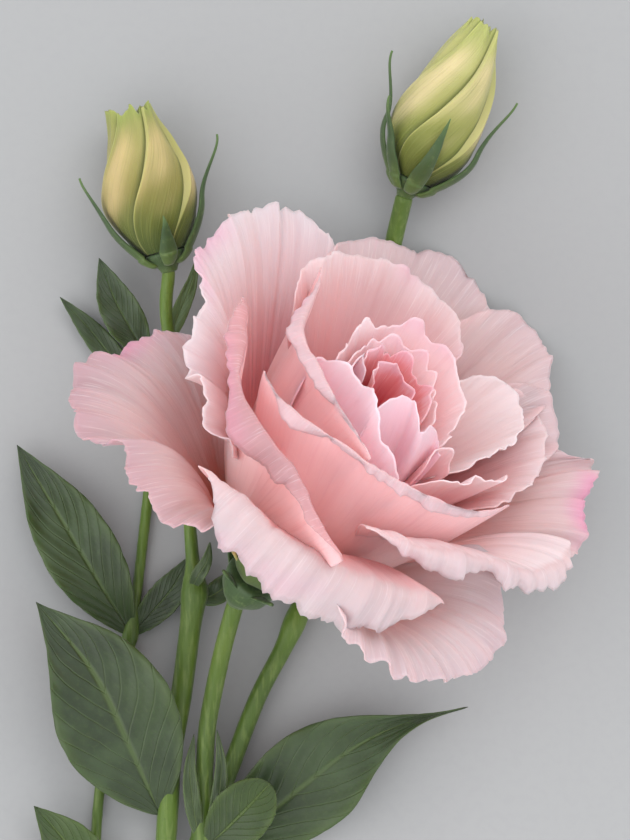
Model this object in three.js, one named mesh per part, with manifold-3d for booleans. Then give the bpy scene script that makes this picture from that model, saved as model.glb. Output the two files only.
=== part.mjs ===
// A cut spray of lisianthus that lies on a surface: one double bloom, two buds, the branched stem
// and its leaves. Millimetres, +Z up, the surface at height 0, the cut end of the stem towards -Y.

import * as THREE from "three";
import { mergeVertices } from "three/addons/utils/BufferGeometryUtils.js";
import Module from "manifold-3d";

const wasm = await Module();
wasm.setup();

// Driving dimensions, in millimetres and degrees.
const PETAL_THICKNESS = 0.7;
const LEAF_THICKNESS = 0.7;
const CLEARANCE = 0.3;
const MAIN_STEM_RADIUS = 2.1;
const BLOOM_STALK_RADIUS = 1.6;
const BUD_STALK_RADIUS = 1.2;
const SIDE_STEM_RADIUS = 1.0;
const BLOOM_LEAN = 53.5;
const BLOOM_HEADING = 54;
const BLOOM_BASE_HEIGHT = 12.4;
const CALYX_RADIUS = 5.2;
const CALYX_DEPTH = 7.5;

const STEM_COLOUR = 0x64802e;
const PETAL_COLOUR = 0xebbec4;
const BUD_COLOUR = 0xc8cd8c;
const SEPAL_COLOUR = 0x3c5a2d;
const LEAF_COLOUR = 0x46603a;
const BRACT_COLOUR = 0x567238;

// Places are drawn on a picture of the spray taken from straight above: steps across and down from
// its corner, with the height over the surface in millimetres.
const EYE_HEIGHT = 700;
const STEP_AT_SURFACE = 0.1779;
const PICTURE_CENTRE = [315, 420];
const ORIGIN_SHIFT = [1.7, 21.6];

const RADIANS = Math.PI / 180;

function place([across, down, height]) {
  const step = STEP_AT_SURFACE * (1 - height / EYE_HEIGHT);
  return new THREE.Vector3(
    (across - PICTURE_CENTRE[0]) * step,
    (PICTURE_CENTRE[1] - down) * step,
    height,
  );
}

function smooth(from, to, x) {
  const u = THREE.MathUtils.clamp((x - from) / (to - from), 0, 1);
  return u * u * (3 - 2 * u);
}

function solidOf(geometry) {
  const bare = new THREE.BufferGeometry();
  bare.setAttribute("position", geometry.getAttribute("position"));
  if (geometry.index) bare.setIndex(geometry.index);
  const merged = mergeVertices(bare, 1e-4);
  return new wasm.Manifold(
    new wasm.Mesh({
      numProp: 3,
      vertProperties: new Float32Array(merged.getAttribute("position").array),
      triVerts: new Uint32Array(merged.index.array),
    }),
  );
}

function joined(solids) {
  return solids.reduce((whole, next) => whole.add(next));
}

// The outer surface of the largest body: it fills sealed hollows and drops loose scraps.
function mainBody(solid) {
  const bodies = solid.decompose();
  return bodies.reduce((best, next) => (next.volume() > best.volume() ? next : best));
}

// How much a blade is thickened where it folds, at most.
const LEAST_MITRE = 0.45;

// A blade of even thickness on a grid: pointAt(u, v) with u from root to tip and v from -1 to 1.
// Where the grid turns sharply from one row to the next, the two faces meet in a mitre.
function blade(rows, columns, thickness, pointAt) {
  const across = columns + 1;
  const middle = [];
  for (let i = 0; i <= rows; i++) {
    for (let j = 0; j <= columns; j++) middle.push(pointAt(i / rows, (2 * j) / columns - 1));
  }
  const grid = (i, j) =>
    middle[
      THREE.MathUtils.clamp(i, 0, rows) * across + THREE.MathUtils.clamp(j, 0, columns)
    ];
  const count = middle.length;
  const positions = new Float32Array(count * 6);
  for (let i = 0; i <= rows; i++) {
    for (let j = 0; j <= columns; j++) {
      const k = i * across + j;
      const before = grid(i, j).clone().sub(grid(i - 1, j)).normalize();
      const after = grid(i + 1, j).clone().sub(grid(i, j)).normalize();
      const up = before.clone().add(after);
      const mitre = before.length() * after.length() > 0 ? up.length() / 2 : 1;
      const side = grid(i, j + 1).clone().sub(grid(i, j - 1));
      const half = up.cross(side).setLength(thickness / 2 / Math.max(mitre, LEAST_MITRE));
      middle[k].clone().add(half).toArray(positions, k * 3);
      middle[k].clone().sub(half).toArray(positions, (count + k) * 3);
    }
  }
  const faces = [];
  for (let i = 0; i < rows; i++) {
    for (let j = 0; j < columns; j++) {
      const a = i * across + j;
      const b = a + 1;
      const c = a + across;
      const d = c + 1;
      faces.push(a, c, d, a, d, b);
      faces.push(count + a, count + d, count + c, count + a, count + b, count + d);
    }
  }
  const wall = (p, q) => faces.push(q, p, count + p, q, count + p, count + q);
  for (let i = 0; i < rows; i++) {
    wall(i * across, (i + 1) * across);
    wall((i + 1) * across + columns, i * across + columns);
  }
  for (let j = 0; j < columns; j++) {
    wall(rows * across + j, rows * across + j + 1);
    wall(j + 1, j);
  }
  const geometry = new THREE.BufferGeometry();
  geometry.setAttribute("position", new THREE.BufferAttribute(positions, 3));
  geometry.setIndex(faces);
  return solidOf(geometry);
}

// The bloom stands on its own axis, which leans to one side. Its side direction is azimuth 0, and
// azimuth 90 is the low side that comes down to the surface.
const BLOOM_BASE = place([255, 575, BLOOM_BASE_HEIGHT]);
const lean = BLOOM_LEAN * RADIANS;
const heading = BLOOM_HEADING * RADIANS;
const BLOOM_AXIS = new THREE.Vector3(
  Math.sin(lean) * Math.cos(heading),
  Math.sin(lean) * Math.sin(heading),
  Math.cos(lean),
);
const BLOOM_SIDE = new THREE.Vector3(Math.sin(heading), -Math.cos(heading), 0);
const BLOOM_LOW = new THREE.Vector3(
  Math.cos(lean) * Math.cos(heading),
  Math.cos(lean) * Math.sin(heading),
  -Math.sin(lean),
);

function inBloom(azimuth, radius, height) {
  return BLOOM_BASE.clone()
    .addScaledVector(outward(azimuth), radius)
    .addScaledVector(BLOOM_AXIS, height);
}

function outward(azimuth) {
  return new THREE.Vector3()
    .addScaledVector(BLOOM_SIDE, Math.cos(azimuth * RADIANS))
    .addScaledVector(BLOOM_LOW, Math.sin(azimuth * RADIANS));
}

// The point seen at a place of the picture that lies at a height along the bloom's axis.
function seenInBloom([across, down, height]) {
  const low = place([across, down, 0]);
  const rise = place([across, down, 1]).sub(low);
  const short = height - low.clone().sub(BLOOM_BASE).dot(BLOOM_AXIS);
  return low.addScaledVector(rise, short / rise.dot(BLOOM_AXIS));
}

// Each petal: its rim as points of the picture with their height along the bloom's axis, where it
// leaves the receptacle as [radius, height], and how it leaves its root and arrives at its rim,
// each as [degrees from the axis, length]. A ruffle is the height of the waves along the rim. One
// that folds over arrives at its fold in this way, and each point of its rim then has its drop below
// the fold instead of a height. A turn is how many degrees the arrival turns from end to end.
const PETALS = {
  left: {
    rim: [
      [190, 324, 31], [150, 321, 27], [114, 344, 25], [78, 362, 24], [70, 400, 23], [82, 441, 24],
      [112, 446, 26], [128, 481, 27], [150, 519, 28], [182, 538, 30], [218, 554, 33],
    ],
    root: [3.4, 1.6],
    rise: [50, 18],
    lip: [112, 16],
    ruffle: 1,
  },
  upper_left: {
    rim: [
      [209, 458, 36], [196, 420, 36.5], [187, 378, 37], [188, 336, 38], [200, 285, 40],
      [192, 258, 40], [213, 228, 41], [246, 204, 41], [287, 199, 42], [326, 214, 44],
      [352, 236, 45],
    ],
    root: [3.2, 2],
    rise: [44, 18],
    lip: [88, 14],
    ruffle: 1,
  },
  upper: {
    rim: [
      [316, 226, 44.5], [345, 230, 45], [380, 238, 45.5], [415, 248, 45.5], [446, 255, 45.3],
      [468, 270, 45.2], [492, 288, 45.3], [514, 308, 45],
    ],
    root: [3.4, 1.6],
    rise: [38, 18],
    lip: [86, 12],
    ruffle: 0.9,
  },
  upper_right: {
    rim: [
      [478, 292, 45.5], [505, 306, 45.5], [532, 323, 45], [547, 350, 44.5], [552, 385, 43.5],
      [550, 412, 42.5], [545, 434, 41.5],
    ],
    root: [3.2, 1.8],
    rise: [40, 18],
    lip: [88, 12],
    ruffle: 0.9,
  },
  right_inner: {
    rim: [
      [526, 368, 43.5], [547, 391, 43], [556, 420, 41.5], [562, 446, 40.5], [566, 470, 39.5],
    ],
    root: [3.2, 2],
    rise: [42, 18],
    lip: [86, 12],
    ruffle: 0.9,
  },
  right: {
    rim: [
      [552, 424, 40], [570, 450, 39], [595, 464, 38], [592, 490, 37], [584, 512, 36.5],
      [591, 532, 36], [584, 554, 35], [562, 582, 34],
    ],
    root: [3.4, 1.6],
    rise: [48, 18],
    lip: [96, 13],
    ruffle: 1,
  },
  lower_right: {
    rim: [
      [366, 532, 1], [382, 548, 1.5], [402, 562, 2], [433, 574, 2], [467, 575, 2], [490, 577, 2.5],
      [512, 590, 3], [536, 595, 3], [562, 582, 3], [582, 554, 2],
    ],
    fold: [
      [368, 526, 41.5], [388, 535, 41], [408, 542, 40.5], [434, 549, 40], [462, 554, 39],
      [486, 558, 38], [508, 566, 37], [530, 569, 36.5], [553, 560, 36.5], [572, 540, 37],
    ],
    root: [3.2, 2],
    rise: [40, 26],
    lip: [56, 14],
    turn: 30,
    ruffle: 0.9,
  },
  lower: {
    rim: [
      [322, 604, 32], [338, 634, 30], [357, 652, 27], [388, 672, 25], [440, 683, 24],
      [478, 670, 24.5], [507, 643, 26], [510, 610, 29], [516, 580, 32], [512, 560, 33],
    ],
    root: [3.4, 1.6],
    rise: [50, 16],
    lip: [108, 12],
    ruffle: 1,
  },
  lower_left: {
    rim: [
      [193, 470, 1], [198, 494, 2], [206, 528, 3], [232, 566, 4], [262, 590, 4.5], [292, 612, 5],
      [318, 626, 5], [345, 635, 5], [372, 635, 5], [400, 632, 4.5], [424, 623, 3.5], [440, 611, 2],
    ],
    fold: [
      [199, 465, 39], [214, 475, 38.5], [236, 492, 38], [262, 514, 37.5], [290, 536, 37],
      [318, 553, 36.5], [345, 567, 36], [372, 578, 36], [394, 584, 36], [414, 589, 36],
      [431, 594, 35.5], [444, 603, 34.5],
    ],
    root: [3.2, 2.2],
    rise: [30, 30],
    lip: [46, 14],
    turn: 22,
    ruffle: 0.8,
  },
  second_right: {
    rim: [
      [520, 366, 43.5], [538, 396, 42.5], [547, 428, 42], [545, 462, 41], [528, 494, 40.5],
      [498, 516, 40.5],
    ],
    root: [3, 2.4],
    rise: [38, 18],
    lip: [74, 10],
    ruffle: 0.9,
  },
  second_left: {
    rim: [
      [236, 297, 0.5], [222, 303, 1], [217, 318, 1], [222, 342, 1], [226, 362, 1], [228, 386, 1],
      [227, 410, 1.5], [231, 434, 2], [243, 453, 2.5], [262, 469, 3], [286, 486, 2.5],
      [296, 505, 1.5], [303, 532, 1], [320, 549, 1], [338, 560, 0.5],
    ],
    fold: [
      [242, 297, 46], [245, 306, 46], [246, 322, 46], [244, 345, 45.5], [240, 366, 45],
      [241, 386, 44.5], [247, 404, 44.5], [257, 421, 44.5], [271, 441, 44.5], [287, 462, 44],
      [300, 484, 43.5], [311, 505, 43], [322, 528, 42], [333, 547, 41], [342, 561, 40],
    ],
    root: [2.8, 2.6],
    rise: [44, 26],
    lip: [22, 14],
    ruffle: 0.5,
  },
  second_back: {
    rim: [
      [277, 292, 46], [284, 275, 47.5], [302, 261, 48.5], [339, 250, 48.5], [370, 251, 48.5],
      [402, 265, 48.5], [431, 284, 48], [452, 302, 47.5], [463, 322, 47], [470, 350, 46.5],
      [462, 376, 46],
    ],
    root: [2.6, 2.8],
    rise: [28, 18],
    lip: [58, 12],
    ruffle: 0.9,
  },
  third_right: {
    rim: [
      [470, 366, 46], [492, 369, 45.5], [510, 381, 45], [521, 398, 44.5], [527, 416, 44],
      [520, 434, 44], [505, 448, 44], [488, 460, 44], [464, 476, 44],
    ],
    root: [2.6, 2.8],
    rise: [26, 16],
    lip: [56, 9],
    ruffle: 0.7,
  },
  third_lower: {
    rim: [
      [261, 374, 0.5], [265, 394, 0.5], [273, 413, 0.5], [286, 426, 0.6], [302, 433, 0.8],
      [318, 438, 0.8], [331, 442, 0.5], [345, 453, 0.3], [364, 469, 0.3], [386, 483, 0.5],
      [410, 499, 0.8], [436, 513, 1], [464, 522, 1], [488, 521, 1], [508, 511, 0.5],
    ],
    fold: [
      [264, 371, 46.5], [273, 387, 47], [284, 402, 47.5], [296, 414, 48], [311, 425, 48],
      [325, 434, 48], [337, 441, 48], [350, 450, 48], [368, 464, 48], [390, 477, 47.5],
      [414, 489, 47], [440, 501, 46], [466, 509, 45.5], [489, 511, 45], [509, 505, 44.5],
    ],
    root: [2.4, 3],
    rise: [52, 24],
    lip: [16, 16],
    ruffle: 0.4,
  },
  third_left: {
    rim: [
      [318, 270, 0.5], [312, 285, 0.6], [303, 301, 1], [292, 317, 1.2], [287, 333, 1.2],
      [294, 350, 1], [303, 364, 0.8], [315, 386, 0.6], [330, 406, 0.5], [346, 428, 0.4],
      [368, 458, 0.3],
    ],
    fold: [
      [322, 268, 49], [319, 285, 49], [312, 302, 49.5], [304, 319, 49.5], [303, 334, 50],
      [309, 350, 50], [317, 363, 50.5], [327, 383, 50.5], [339, 403, 50.5], [353, 426, 50],
      [371, 458, 49],
    ],
    root: [2.2, 3.2],
    rise: [50, 24],
    lip: [18, 12],
    ruffle: 0.35,
  },
  fourth_back: {
    rim: [
      [330, 356, 50], [348, 331, 50.5], [370, 320, 50.5], [396, 318, 50.5], [424, 325, 50],
      [447, 343, 49.5], [464, 372, 49], [469, 404, 48.5], [466, 432, 48], [448, 444, 47.5],
    ],
    root: [2, 3.4],
    rise: [14, 20],
    lip: [34, 9],
    ruffle: 0.6,
  },
  fourth_right: {
    rim: [[430, 470, 45], [437, 452, 46.5], [449, 441, 47.5], [460, 446, 47], [464, 462, 46]],
    root: [2, 3.4],
    rise: [22, 22],
    lip: [8, 8],
    ruffle: 0.3,
  },
  fifth_right: {
    rim: [
      [418, 480, 46.5], [444, 481, 46.5], [470, 478, 46], [492, 481, 45.5], [508, 480, 45],
      [523, 467, 44.5],
    ],
    root: [2.2, 3.2],
    rise: [34, 20],
    lip: [30, 7],
    ruffle: 0.5,
  },
  tooth: {
    rim: [
      [350, 378, 49.5], [357, 362, 50.8], [365, 350, 51.5], [370, 363, 50.8], [371, 380, 49.5],
    ],
    root: [1.4, 4],
    rise: [10, 22],
    lip: [-6, 8],
    ruffle: 0.2,
  },
  fifth_back: {
    rim: [
      [338, 366, 50], [352, 346, 50.5], [372, 336, 50.5], [400, 337, 50], [424, 350, 49.5],
      [440, 376, 49], [445, 404, 48.5], [438, 428, 48],
    ],
    root: [1.8, 3.6],
    rise: [12, 20],
    lip: [26, 8],
    ruffle: 0.5,
  },
  front: {
    rim: [
      [318, 362, 50.5], [329, 348, 51], [344, 362, 51.5], [358, 373, 51.5], [370, 384, 52],
      [375, 402, 52], [380, 416, 51.5], [394, 444, 50], [406, 464, 48.8], [414, 478, 48],
    ],
    root: [1.8, 3.6],
    rise: [32, 22],
    lip: [-18, 9],
    ruffle: 0.3,
  },
  sixth_back: {
    rim: [
      [352, 366, 50], [366, 352, 50.5], [388, 346, 50.5], [408, 354, 50], [424, 374, 49.5],
      [431, 400, 49], [428, 424, 48.5],
    ],
    root: [1.4, 4],
    rise: [8, 20],
    lip: [18, 7],
    ruffle: 0.4,
  },
  heart_front: {
    rim: [
      [372, 410, 51.5], [384, 400, 52.5], [404, 392, 53], [414, 399, 52.5], [423, 428, 51],
      [440, 421, 50], [450, 432, 49],
    ],
    root: [1, 4.2],
    rise: [28, 26],
    lip: [-30, 6],
    ruffle: 0.3,
  },
  heart_back: {
    rim: [
      [368, 392, 49.5], [378, 372, 50], [392, 364, 50], [405, 372, 49.5], [413, 388, 49],
      [416, 404, 48.5],
    ],
    root: [0.8, 4.4],
    rise: [4, 20],
    lip: [12, 6],
    ruffle: 0.3,
  },
};
const PETAL_ROWS = 5;
const COLUMN_WIDTH = 6;
const LEAST_COLUMNS = 5;
const CLAW_SHARE = 0.3;
const CORNER_ROUNDING = 0.18;
const FOLD_SHARE = 0.8;
const LIP_ROUNDING = 0.5;
const RUFFLE_LENGTH = 14;
const LONG_WAVE = 0.7;
const SHORT_WAVE = 0.35;
const SHORT_WAVE_RATE = 2.3;
const PHASE_STEP = 2.4;

function azimuthOf(point) {
  const arm = point.clone().sub(BLOOM_BASE);
  return Math.atan2(arm.dot(BLOOM_LOW), arm.dot(BLOOM_SIDE)) / RADIANS;
}

// Turns an azimuth by whole turns until it is within half a turn of another.
function near(azimuth, other) {
  return azimuth - 360 * Math.round((azimuth - other) / 360);
}

function slanted(azimuth, [angle, length], turned = 0) {
  const slope = (angle + turned) * RADIANS;
  return outward(azimuth)
    .multiplyScalar(length * Math.sin(slope))
    .addScaledVector(BLOOM_AXIS, length * Math.cos(slope));
}

function smoothCurve(points) {
  return new THREE.CatmullRomCurve3(points, false, "centripetal");
}

// The line that a petal's profile runs to, and the rim of the lip that hangs over it, if it folds.
function petalLines(shape) {
  if (!shape.fold) return [smoothCurve(shape.rim.map(seenInBloom)), null];
  const crest = shape.fold.map(seenInBloom);
  const rim = shape.rim.map(([across, down, drop], k) => place([across, down, crest[k].z - drop]));
  return [smoothCurve(crest), smoothCurve(rim)];
}

// A petal runs from its claw along a smooth profile to its rim, which waves more and more.
function petal(shape, order) {
  const [crest, rim] = petalLines(shape);
  const length = (rim ?? crest).getLength();
  const middle = azimuthOf(crest.getPointAt(0.5));
  const columns = Math.max(LEAST_COLUMNS, Math.round(length / COLUMN_WIDTH));
  const waves = length / RUFFLE_LENGTH;
  const phase = order * PHASE_STEP;
  return blade(PETAL_ROWS, columns, PETAL_THICKNESS, (u, v) => {
    const share = (v + 1) / 2;
    const end = crest.getPointAt(share);
    const azimuth = near(azimuthOf(end), middle);
    const rooted = middle + (azimuth - middle) * CLAW_SHARE;
    const start = inBloom(rooted, ...shape.root);
    const profile = new THREE.CubicBezierCurve3(
      start,
      start.clone().add(slanted(rooted, shape.rise)),
      end.clone().sub(slanted(azimuth, shape.lip, (shape.turn ?? 0) * share)),
      end,
    );
    const s = rim ? u : u * (1 - CORNER_ROUNDING * v ** 4);
    const along = rim ? Math.min(u / FOLD_SHARE, 1) : s;
    const point = profile.getPoint(along);
    const tangent = profile.getTangent(along);
    if (rim && u > FOLD_SHARE) {
      const over = ((u - FOLD_SHARE) / (1 - FOLD_SHARE)) * (1 - LIP_ROUNDING * v ** 4);
      tangent.subVectors(rim.getPointAt(share), end);
      point.addScaledVector(tangent, over);
      tangent.normalize();
    }
    const wave =
      shape.ruffle *
      s ** 4 *
      (LONG_WAVE * Math.sin(Math.PI * waves * v + phase) +
        SHORT_WAVE * Math.sin(SHORT_WAVE_RATE * Math.PI * waves * v));
    const out = outward(azimuth);
    return point
      .addScaledVector(BLOOM_AXIS, wave * tangent.dot(out))
      .addScaledVector(out, -wave * tangent.dot(BLOOM_AXIS));
  });
}

// A solid turned round the bloom's axis from [radius, height] points.
function turnedOnBloom(points, sides) {
  const outline = points.map(([radius, height]) => new THREE.Vector2(radius, height));
  const geometry = new THREE.LatheGeometry(outline, sides);
  const frame = new THREE.Matrix4().makeBasis(BLOOM_LOW, BLOOM_AXIS, BLOOM_SIDE);
  frame.setPosition(BLOOM_BASE);
  geometry.applyMatrix4(frame);
  return solidOf(geometry);
}

// The closely packed middle of the bloom, which the petals grow round and stand out of.
const receptacle = turnedOnBloom(
  [[0, CLEARANCE], [3.6, CLEARANCE], [6.2, 3], [8.5, 9], [7, 16], [0, 20]],
  12,
);

const SEPAL_AZIMUTHS = [20, 92, 164, 236, 308];
const SEPAL_LENGTH = 5;
const SEPAL_BEND = 4.6;

// A short pointed blade that leaves the bloom's calyx and stands up beside the petals.
function bloomSepal(azimuth, length, bend) {
  return blade(5, 2, LEAF_THICKNESS, (u, v) => {
    const half = 1.8 * (1 - u) ** 0.7 + 0.35;
    const radius = CALYX_RADIUS - 1.4 + length * u;
    const height = -2 + bend * u - 0.5 * u * u + 0.4 * (1 - v * v);
    return inBloom(azimuth + (half * v) / radius / RADIANS, radius, height);
  });
}

// Leaves and bracts: the midline from root to tip, the half width, where along it the blade is
// widest, how it tapers from there to its tip, how far its sides lift, and the waves of its edges.
const LEAVES = {
  leaf_left_upper: {
    route: [[131, 634, 1.4], [101, 585, 4], [62, 520, 5], [17, 445, 3.5]],
    half: 6.3,
    widest: 0.45,
    taper: 1.1,
    lift: 1.2,
    wave: 0.5,
  },
  leaf_left_lower: {
    route: [[160, 814, 4], [131, 750, 9], [93, 672, 12], [36, 602, 10]],
    half: 10.4,
    widest: 0.42,
    taper: 1.2,
    lift: 1.8,
    wave: 0.7,
  },
  leaf_left_bottom: {
    route: [[103, 930, 1.5], [92, 890, 4], [68, 845, 6], [34, 806, 5]],
    half: 5,
    widest: 0.5,
    taper: 1.1,
    lift: 1,
    wave: 0.4,
  },
  leaf_right_lower: {
    route: [
      [205, 850, 3.4], [255, 824, 4], [303, 786, 5], [350, 750, 6], [400, 725, 5.5],
      [468, 707, 4.5],
    ],
    half: 8.6,
    widest: 0.42,
    taper: 3,
    lift: 1.5,
    wave: 0.8,
  },
  leaf_right_small: {
    route: [[207, 846, 4.6], [225, 830, 8], [247, 808, 10], [270, 783, 10]],
    half: 4.9,
    widest: 0.6,
    taper: 0.5,
    lift: 1.2,
    wave: 0.3,
  },
  leaf_far_upper: {
    route: [[146, 357, 1.8], [134, 335, 4], [115, 300, 5], [99, 258, 4.6]],
    half: 3.2,
    widest: 0.45,
    taper: 1.1,
    lift: 0.8,
    wave: 0.3,
  },
  leaf_far_lower: {
    route: [[148, 392, 1.4], [120, 366, 1.6], [90, 330, 1.6], [60, 297, 2.2]],
    half: 2,
    widest: 0.45,
    taper: 1.1,
    lift: 0.5,
    wave: 0.2,
  },
  leaf_behind_node: {
    route: [[132, 634, 1.4], [152, 612, 2], [172, 588, 2.4], [190, 556, 2.4]],
    half: 2.6,
    widest: 0.5,
    taper: 1.1,
    lift: 0.6,
    wave: 0.2,
  },
  bract_fork_left: {
    route: [[200, 842, 4.4], [193, 805, 6.5], [190, 770, 7.4], [194, 734, 7.6]],
    half: 1.1,
    widest: 0.4,
    taper: 1.1,
    lift: 0.2,
    wave: 0,
  },
  bract_fork_right: {
    route: [[208, 836, 4], [218, 800, 6.6], [221, 765, 8.6], [217, 730, 9.6]],
    half: 1,
    widest: 0.4,
    taper: 1.1,
    lift: 0.2,
    wave: 0,
  },
  bract_bud_stalk: {
    route: [[167, 345, 6.2], [181, 310, 7.2], [192, 282, 7.2], [197, 256, 7]],
    half: 1.1,
    widest: 0.4,
    taper: 1.1,
    lift: 0.2,
    wave: 0,
  },
  bract_node_dark: {
    route: [[197, 598, 5.4], [211, 596, 4.6], [226, 585, 4.4], [240, 566, 4.6]],
    half: 1.8,
    widest: 0.45,
    taper: 1.1,
    lift: 0.3,
    wave: 0,
  },
  bract_node_light: {
    route: [[192, 588, 6.2], [199, 574, 8.6], [207, 560, 9], [210, 542, 9]],
    half: 0.9,
    widest: 0.4,
    taper: 1.1,
    lift: 0.2,
    wave: 0,
  },
};
const LEAF_WAVES = 3;
const LEAF_TIP = 0.4;
const LEAF_ROW = 4;

function leaf(shape) {
  const midline = smoothCurve(shape.route.map(place));
  const length = midline.getLength();
  const widest = shape.widest;
  const quarter = Math.PI / 2;
  const rows = THREE.MathUtils.clamp(Math.round(length / LEAF_ROW), 5, 11);
  const columns = shape.half > 2.4 ? 4 : 2;
  return blade(rows, columns, LEAF_THICKNESS, (u, v) => {
    const centre = midline.getPointAt(u);
    const ahead = midline.getTangentAt(u);
    const side = new THREE.Vector3(0, 0, 1).cross(ahead).normalize();
    const swell =
      u < widest
        ? Math.sin((quarter * u) / widest) ** 0.8
        : Math.cos((quarter * (u - widest)) / (1 - widest)) ** shape.taper;
    const half = LEAF_TIP + shape.half * swell;
    const edge = Math.abs(v) ** 3 * shape.wave * Math.sin(2 * Math.PI * LEAF_WAVES * u + v);
    const rise = shape.lift * v * v * Math.sin(Math.PI * u) + edge * Math.sin(Math.PI * u);
    return centre.addScaledVector(side, half * v).add(new THREE.Vector3(0, 0, rise));
  });
}

// A furled bud on its own axis, and the calyx that holds it. Its sepals are given as azimuth,
// length along the axis and how far the tip stands off the axis. Azimuth 90 points up.
const BUDS = {
  left_bud: {
    base: [165, 253, 7.8],
    tip: [130, 112, 8.6],
    radius: 8,
    widest: 0.38,
    mouth: 0.48,
    taper: 1.5,
    turns: 0.26,
    sepals: [
      [165, 16.2, 11.7], [15, 17.9, 14.4], [80, 6.2, 8.5], [-42, 12, 9.4], [224, 12, 9.3],
    ],
  },
  right_bud: {
    base: [412, 180, 6.4],
    tip: [484, 27, 9.5],
    radius: 7.7,
    widest: 0.28,
    mouth: 0.36,
    taper: 1,
    turns: 0.3,
    sepals: [
      [172, 19.1, 12.9], [142, 11.9, 12.4], [14, 20.1, 11.3], [80, 12.8, 9], [-38, 12, 9],
    ],
  },
};
const BUD_PETALS = 5;
const FURL_STEP = 0.09;
const BUD_RINGS = 12;
const BUD_SIDES = 20;
const BUD_FRAY = 1.1;
const BUD_MOUTH_DEPTH = 2;
const BUD_CUP_DEPTH = 3.4;
const BUD_CUP_WALL = 1.1;
const BUD_CUP_RADIUS = 3.3;
const STALK_GAP = 0.6;
const SEPAL_ROWS = 7;
const SEPAL_ROOT = 1.9;
const SEPAL_START = -1.7;
const SEPAL_ELBOW = -0.4;
const SEPAL_ROOM = 0.95;
const SEPAL_HALF = 1.8;
const SEPAL_TIP = 0.35;

function budFrame(bud) {
  const base = place(bud.base);
  const axis = place(bud.tip).sub(base);
  const length = axis.length();
  axis.normalize();
  const side = axis.clone().cross(new THREE.Vector3(0, 0, 1)).normalize();
  const up = side.clone().cross(axis);
  return { base, axis, side, up, length };
}

function inBud(frame, azimuth, radius, height) {
  return frame.base
    .clone()
    .addScaledVector(frame.side, radius * Math.cos(azimuth))
    .addScaledVector(frame.up, radius * Math.sin(azimuth))
    .addScaledVector(frame.axis, height);
}

function budRadius(bud, u) {
  const quarter = Math.PI / 2;
  if (u < bud.widest) return bud.radius * Math.sin(quarter * (0.3 + (0.7 * u) / bud.widest));
  const closing = Math.cos((quarter * (u - bud.widest)) / (1 - bud.widest)) ** bud.taper;
  return bud.radius * (bud.mouth + (1 - bud.mouth) * closing);
}

// Furled petals wind round the bud as shallow steps, and their tips fray at its mouth.
function budPetals(bud) {
  const frame = budFrame(bud);
  const points = [inBud(frame, 0, 0, CLEARANCE)];
  for (let i = 0; i <= BUD_RINGS; i++) {
    const u = i / BUD_RINGS;
    for (let j = 0; j < BUD_SIDES; j++) {
      const azimuth = 2 * Math.PI * (j / BUD_SIDES - bud.turns * u);
      const turn = (BUD_PETALS * j) / BUD_SIDES;
      const furl = (turn - Math.floor(turn) - 0.5) * FURL_STEP * 2 * smooth(0.05, 0.4, u);
      const fray = BUD_FRAY * smooth(0.85, 1, u) * Math.sin(3 * azimuth + 0.7) * Math.sin(5 * azimuth);
      const height = CLEARANCE + u * (frame.length - CLEARANCE) + fray;
      points.push(inBud(frame, azimuth, budRadius(bud, u) * (1 + furl), height));
    }
  }
  points.push(inBud(frame, 0, 0, frame.length - BUD_MOUTH_DEPTH));
  const faces = [];
  const at = (i, j) => 1 + i * BUD_SIDES + (j % BUD_SIDES);
  for (let j = 0; j < BUD_SIDES; j++) {
    faces.push(0, at(0, j), at(0, j + 1));
    for (let i = 0; i < BUD_RINGS; i++) {
      faces.push(at(i, j), at(i + 1, j + 1), at(i, j + 1), at(i, j), at(i + 1, j), at(i + 1, j + 1));
    }
    faces.push(points.length - 1, at(BUD_RINGS, j + 1), at(BUD_RINGS, j));
  }
  const geometry = new THREE.BufferGeometry().setFromPoints(points);
  geometry.setIndex(faces);
  return solidOf(geometry);
}

// A sepal leaves the side of the cup, turns up at its elbow, hugs the bud and stands off at its tip.
function budSepal(bud, frame, [degrees, reach, standOff]) {
  const elbow = 1 / SEPAL_ROWS;
  return blade(SEPAL_ROWS, 2, LEAF_THICKNESS, (u, v) => {
    const climb = Math.max(0, (u - elbow) / (1 - elbow));
    const height = SEPAL_ELBOW + (reach - SEPAL_ELBOW) * climb;
    const share = THREE.MathUtils.clamp(height / frame.length, 0, 1);
    const hug = budRadius(bud, share) * (1 + FURL_STEP) + SEPAL_ROOM;
    const flare = Math.max(0, standOff - hug) * smooth(0.45, 1, climb);
    const half = SEPAL_TIP + SEPAL_HALF * (1 - u) ** 0.8 * smooth(-0.2, 0.35, u);
    const rooted = u < elbow / 2;
    const radius = rooted ? SEPAL_ROOT : hug + flare;
    const turn = (half * v) / (radius + 1);
    return inBud(frame, degrees * RADIANS + turn, radius, rooted ? SEPAL_START : height);
  });
}

function budCalyx(bud) {
  const frame = budFrame(bud);
  const outline = [
    [0, -BUD_CUP_DEPTH],
    [BUD_STALK_RADIUS + 0.15, -BUD_CUP_DEPTH],
    [BUD_CUP_RADIUS, -BUD_CUP_WALL],
    [BUD_CUP_RADIUS, 0],
    [0, 0],
  ].map(([radius, height]) => new THREE.Vector2(radius, height));
  const cup = new THREE.LatheGeometry(outline, 12);
  const basis = new THREE.Matrix4().makeBasis(frame.side, frame.axis, frame.up);
  basis.setPosition(frame.base);
  cup.applyMatrix4(basis);
  return joined([solidOf(cup), ...bud.sepals.map((sepal) => budSepal(bud, frame, sepal))]);
}

// Each stalk ends a gap short of the calyx that it carries.
function budStalkEnd(bud) {
  const { base, axis } = budFrame(bud);
  return base.clone().addScaledVector(axis, -BUD_CUP_DEPTH - STALK_GAP);
}

const bloomStalkEnd = inBloom(0, 0, -CALYX_DEPTH - CLEARANCE);

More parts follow.
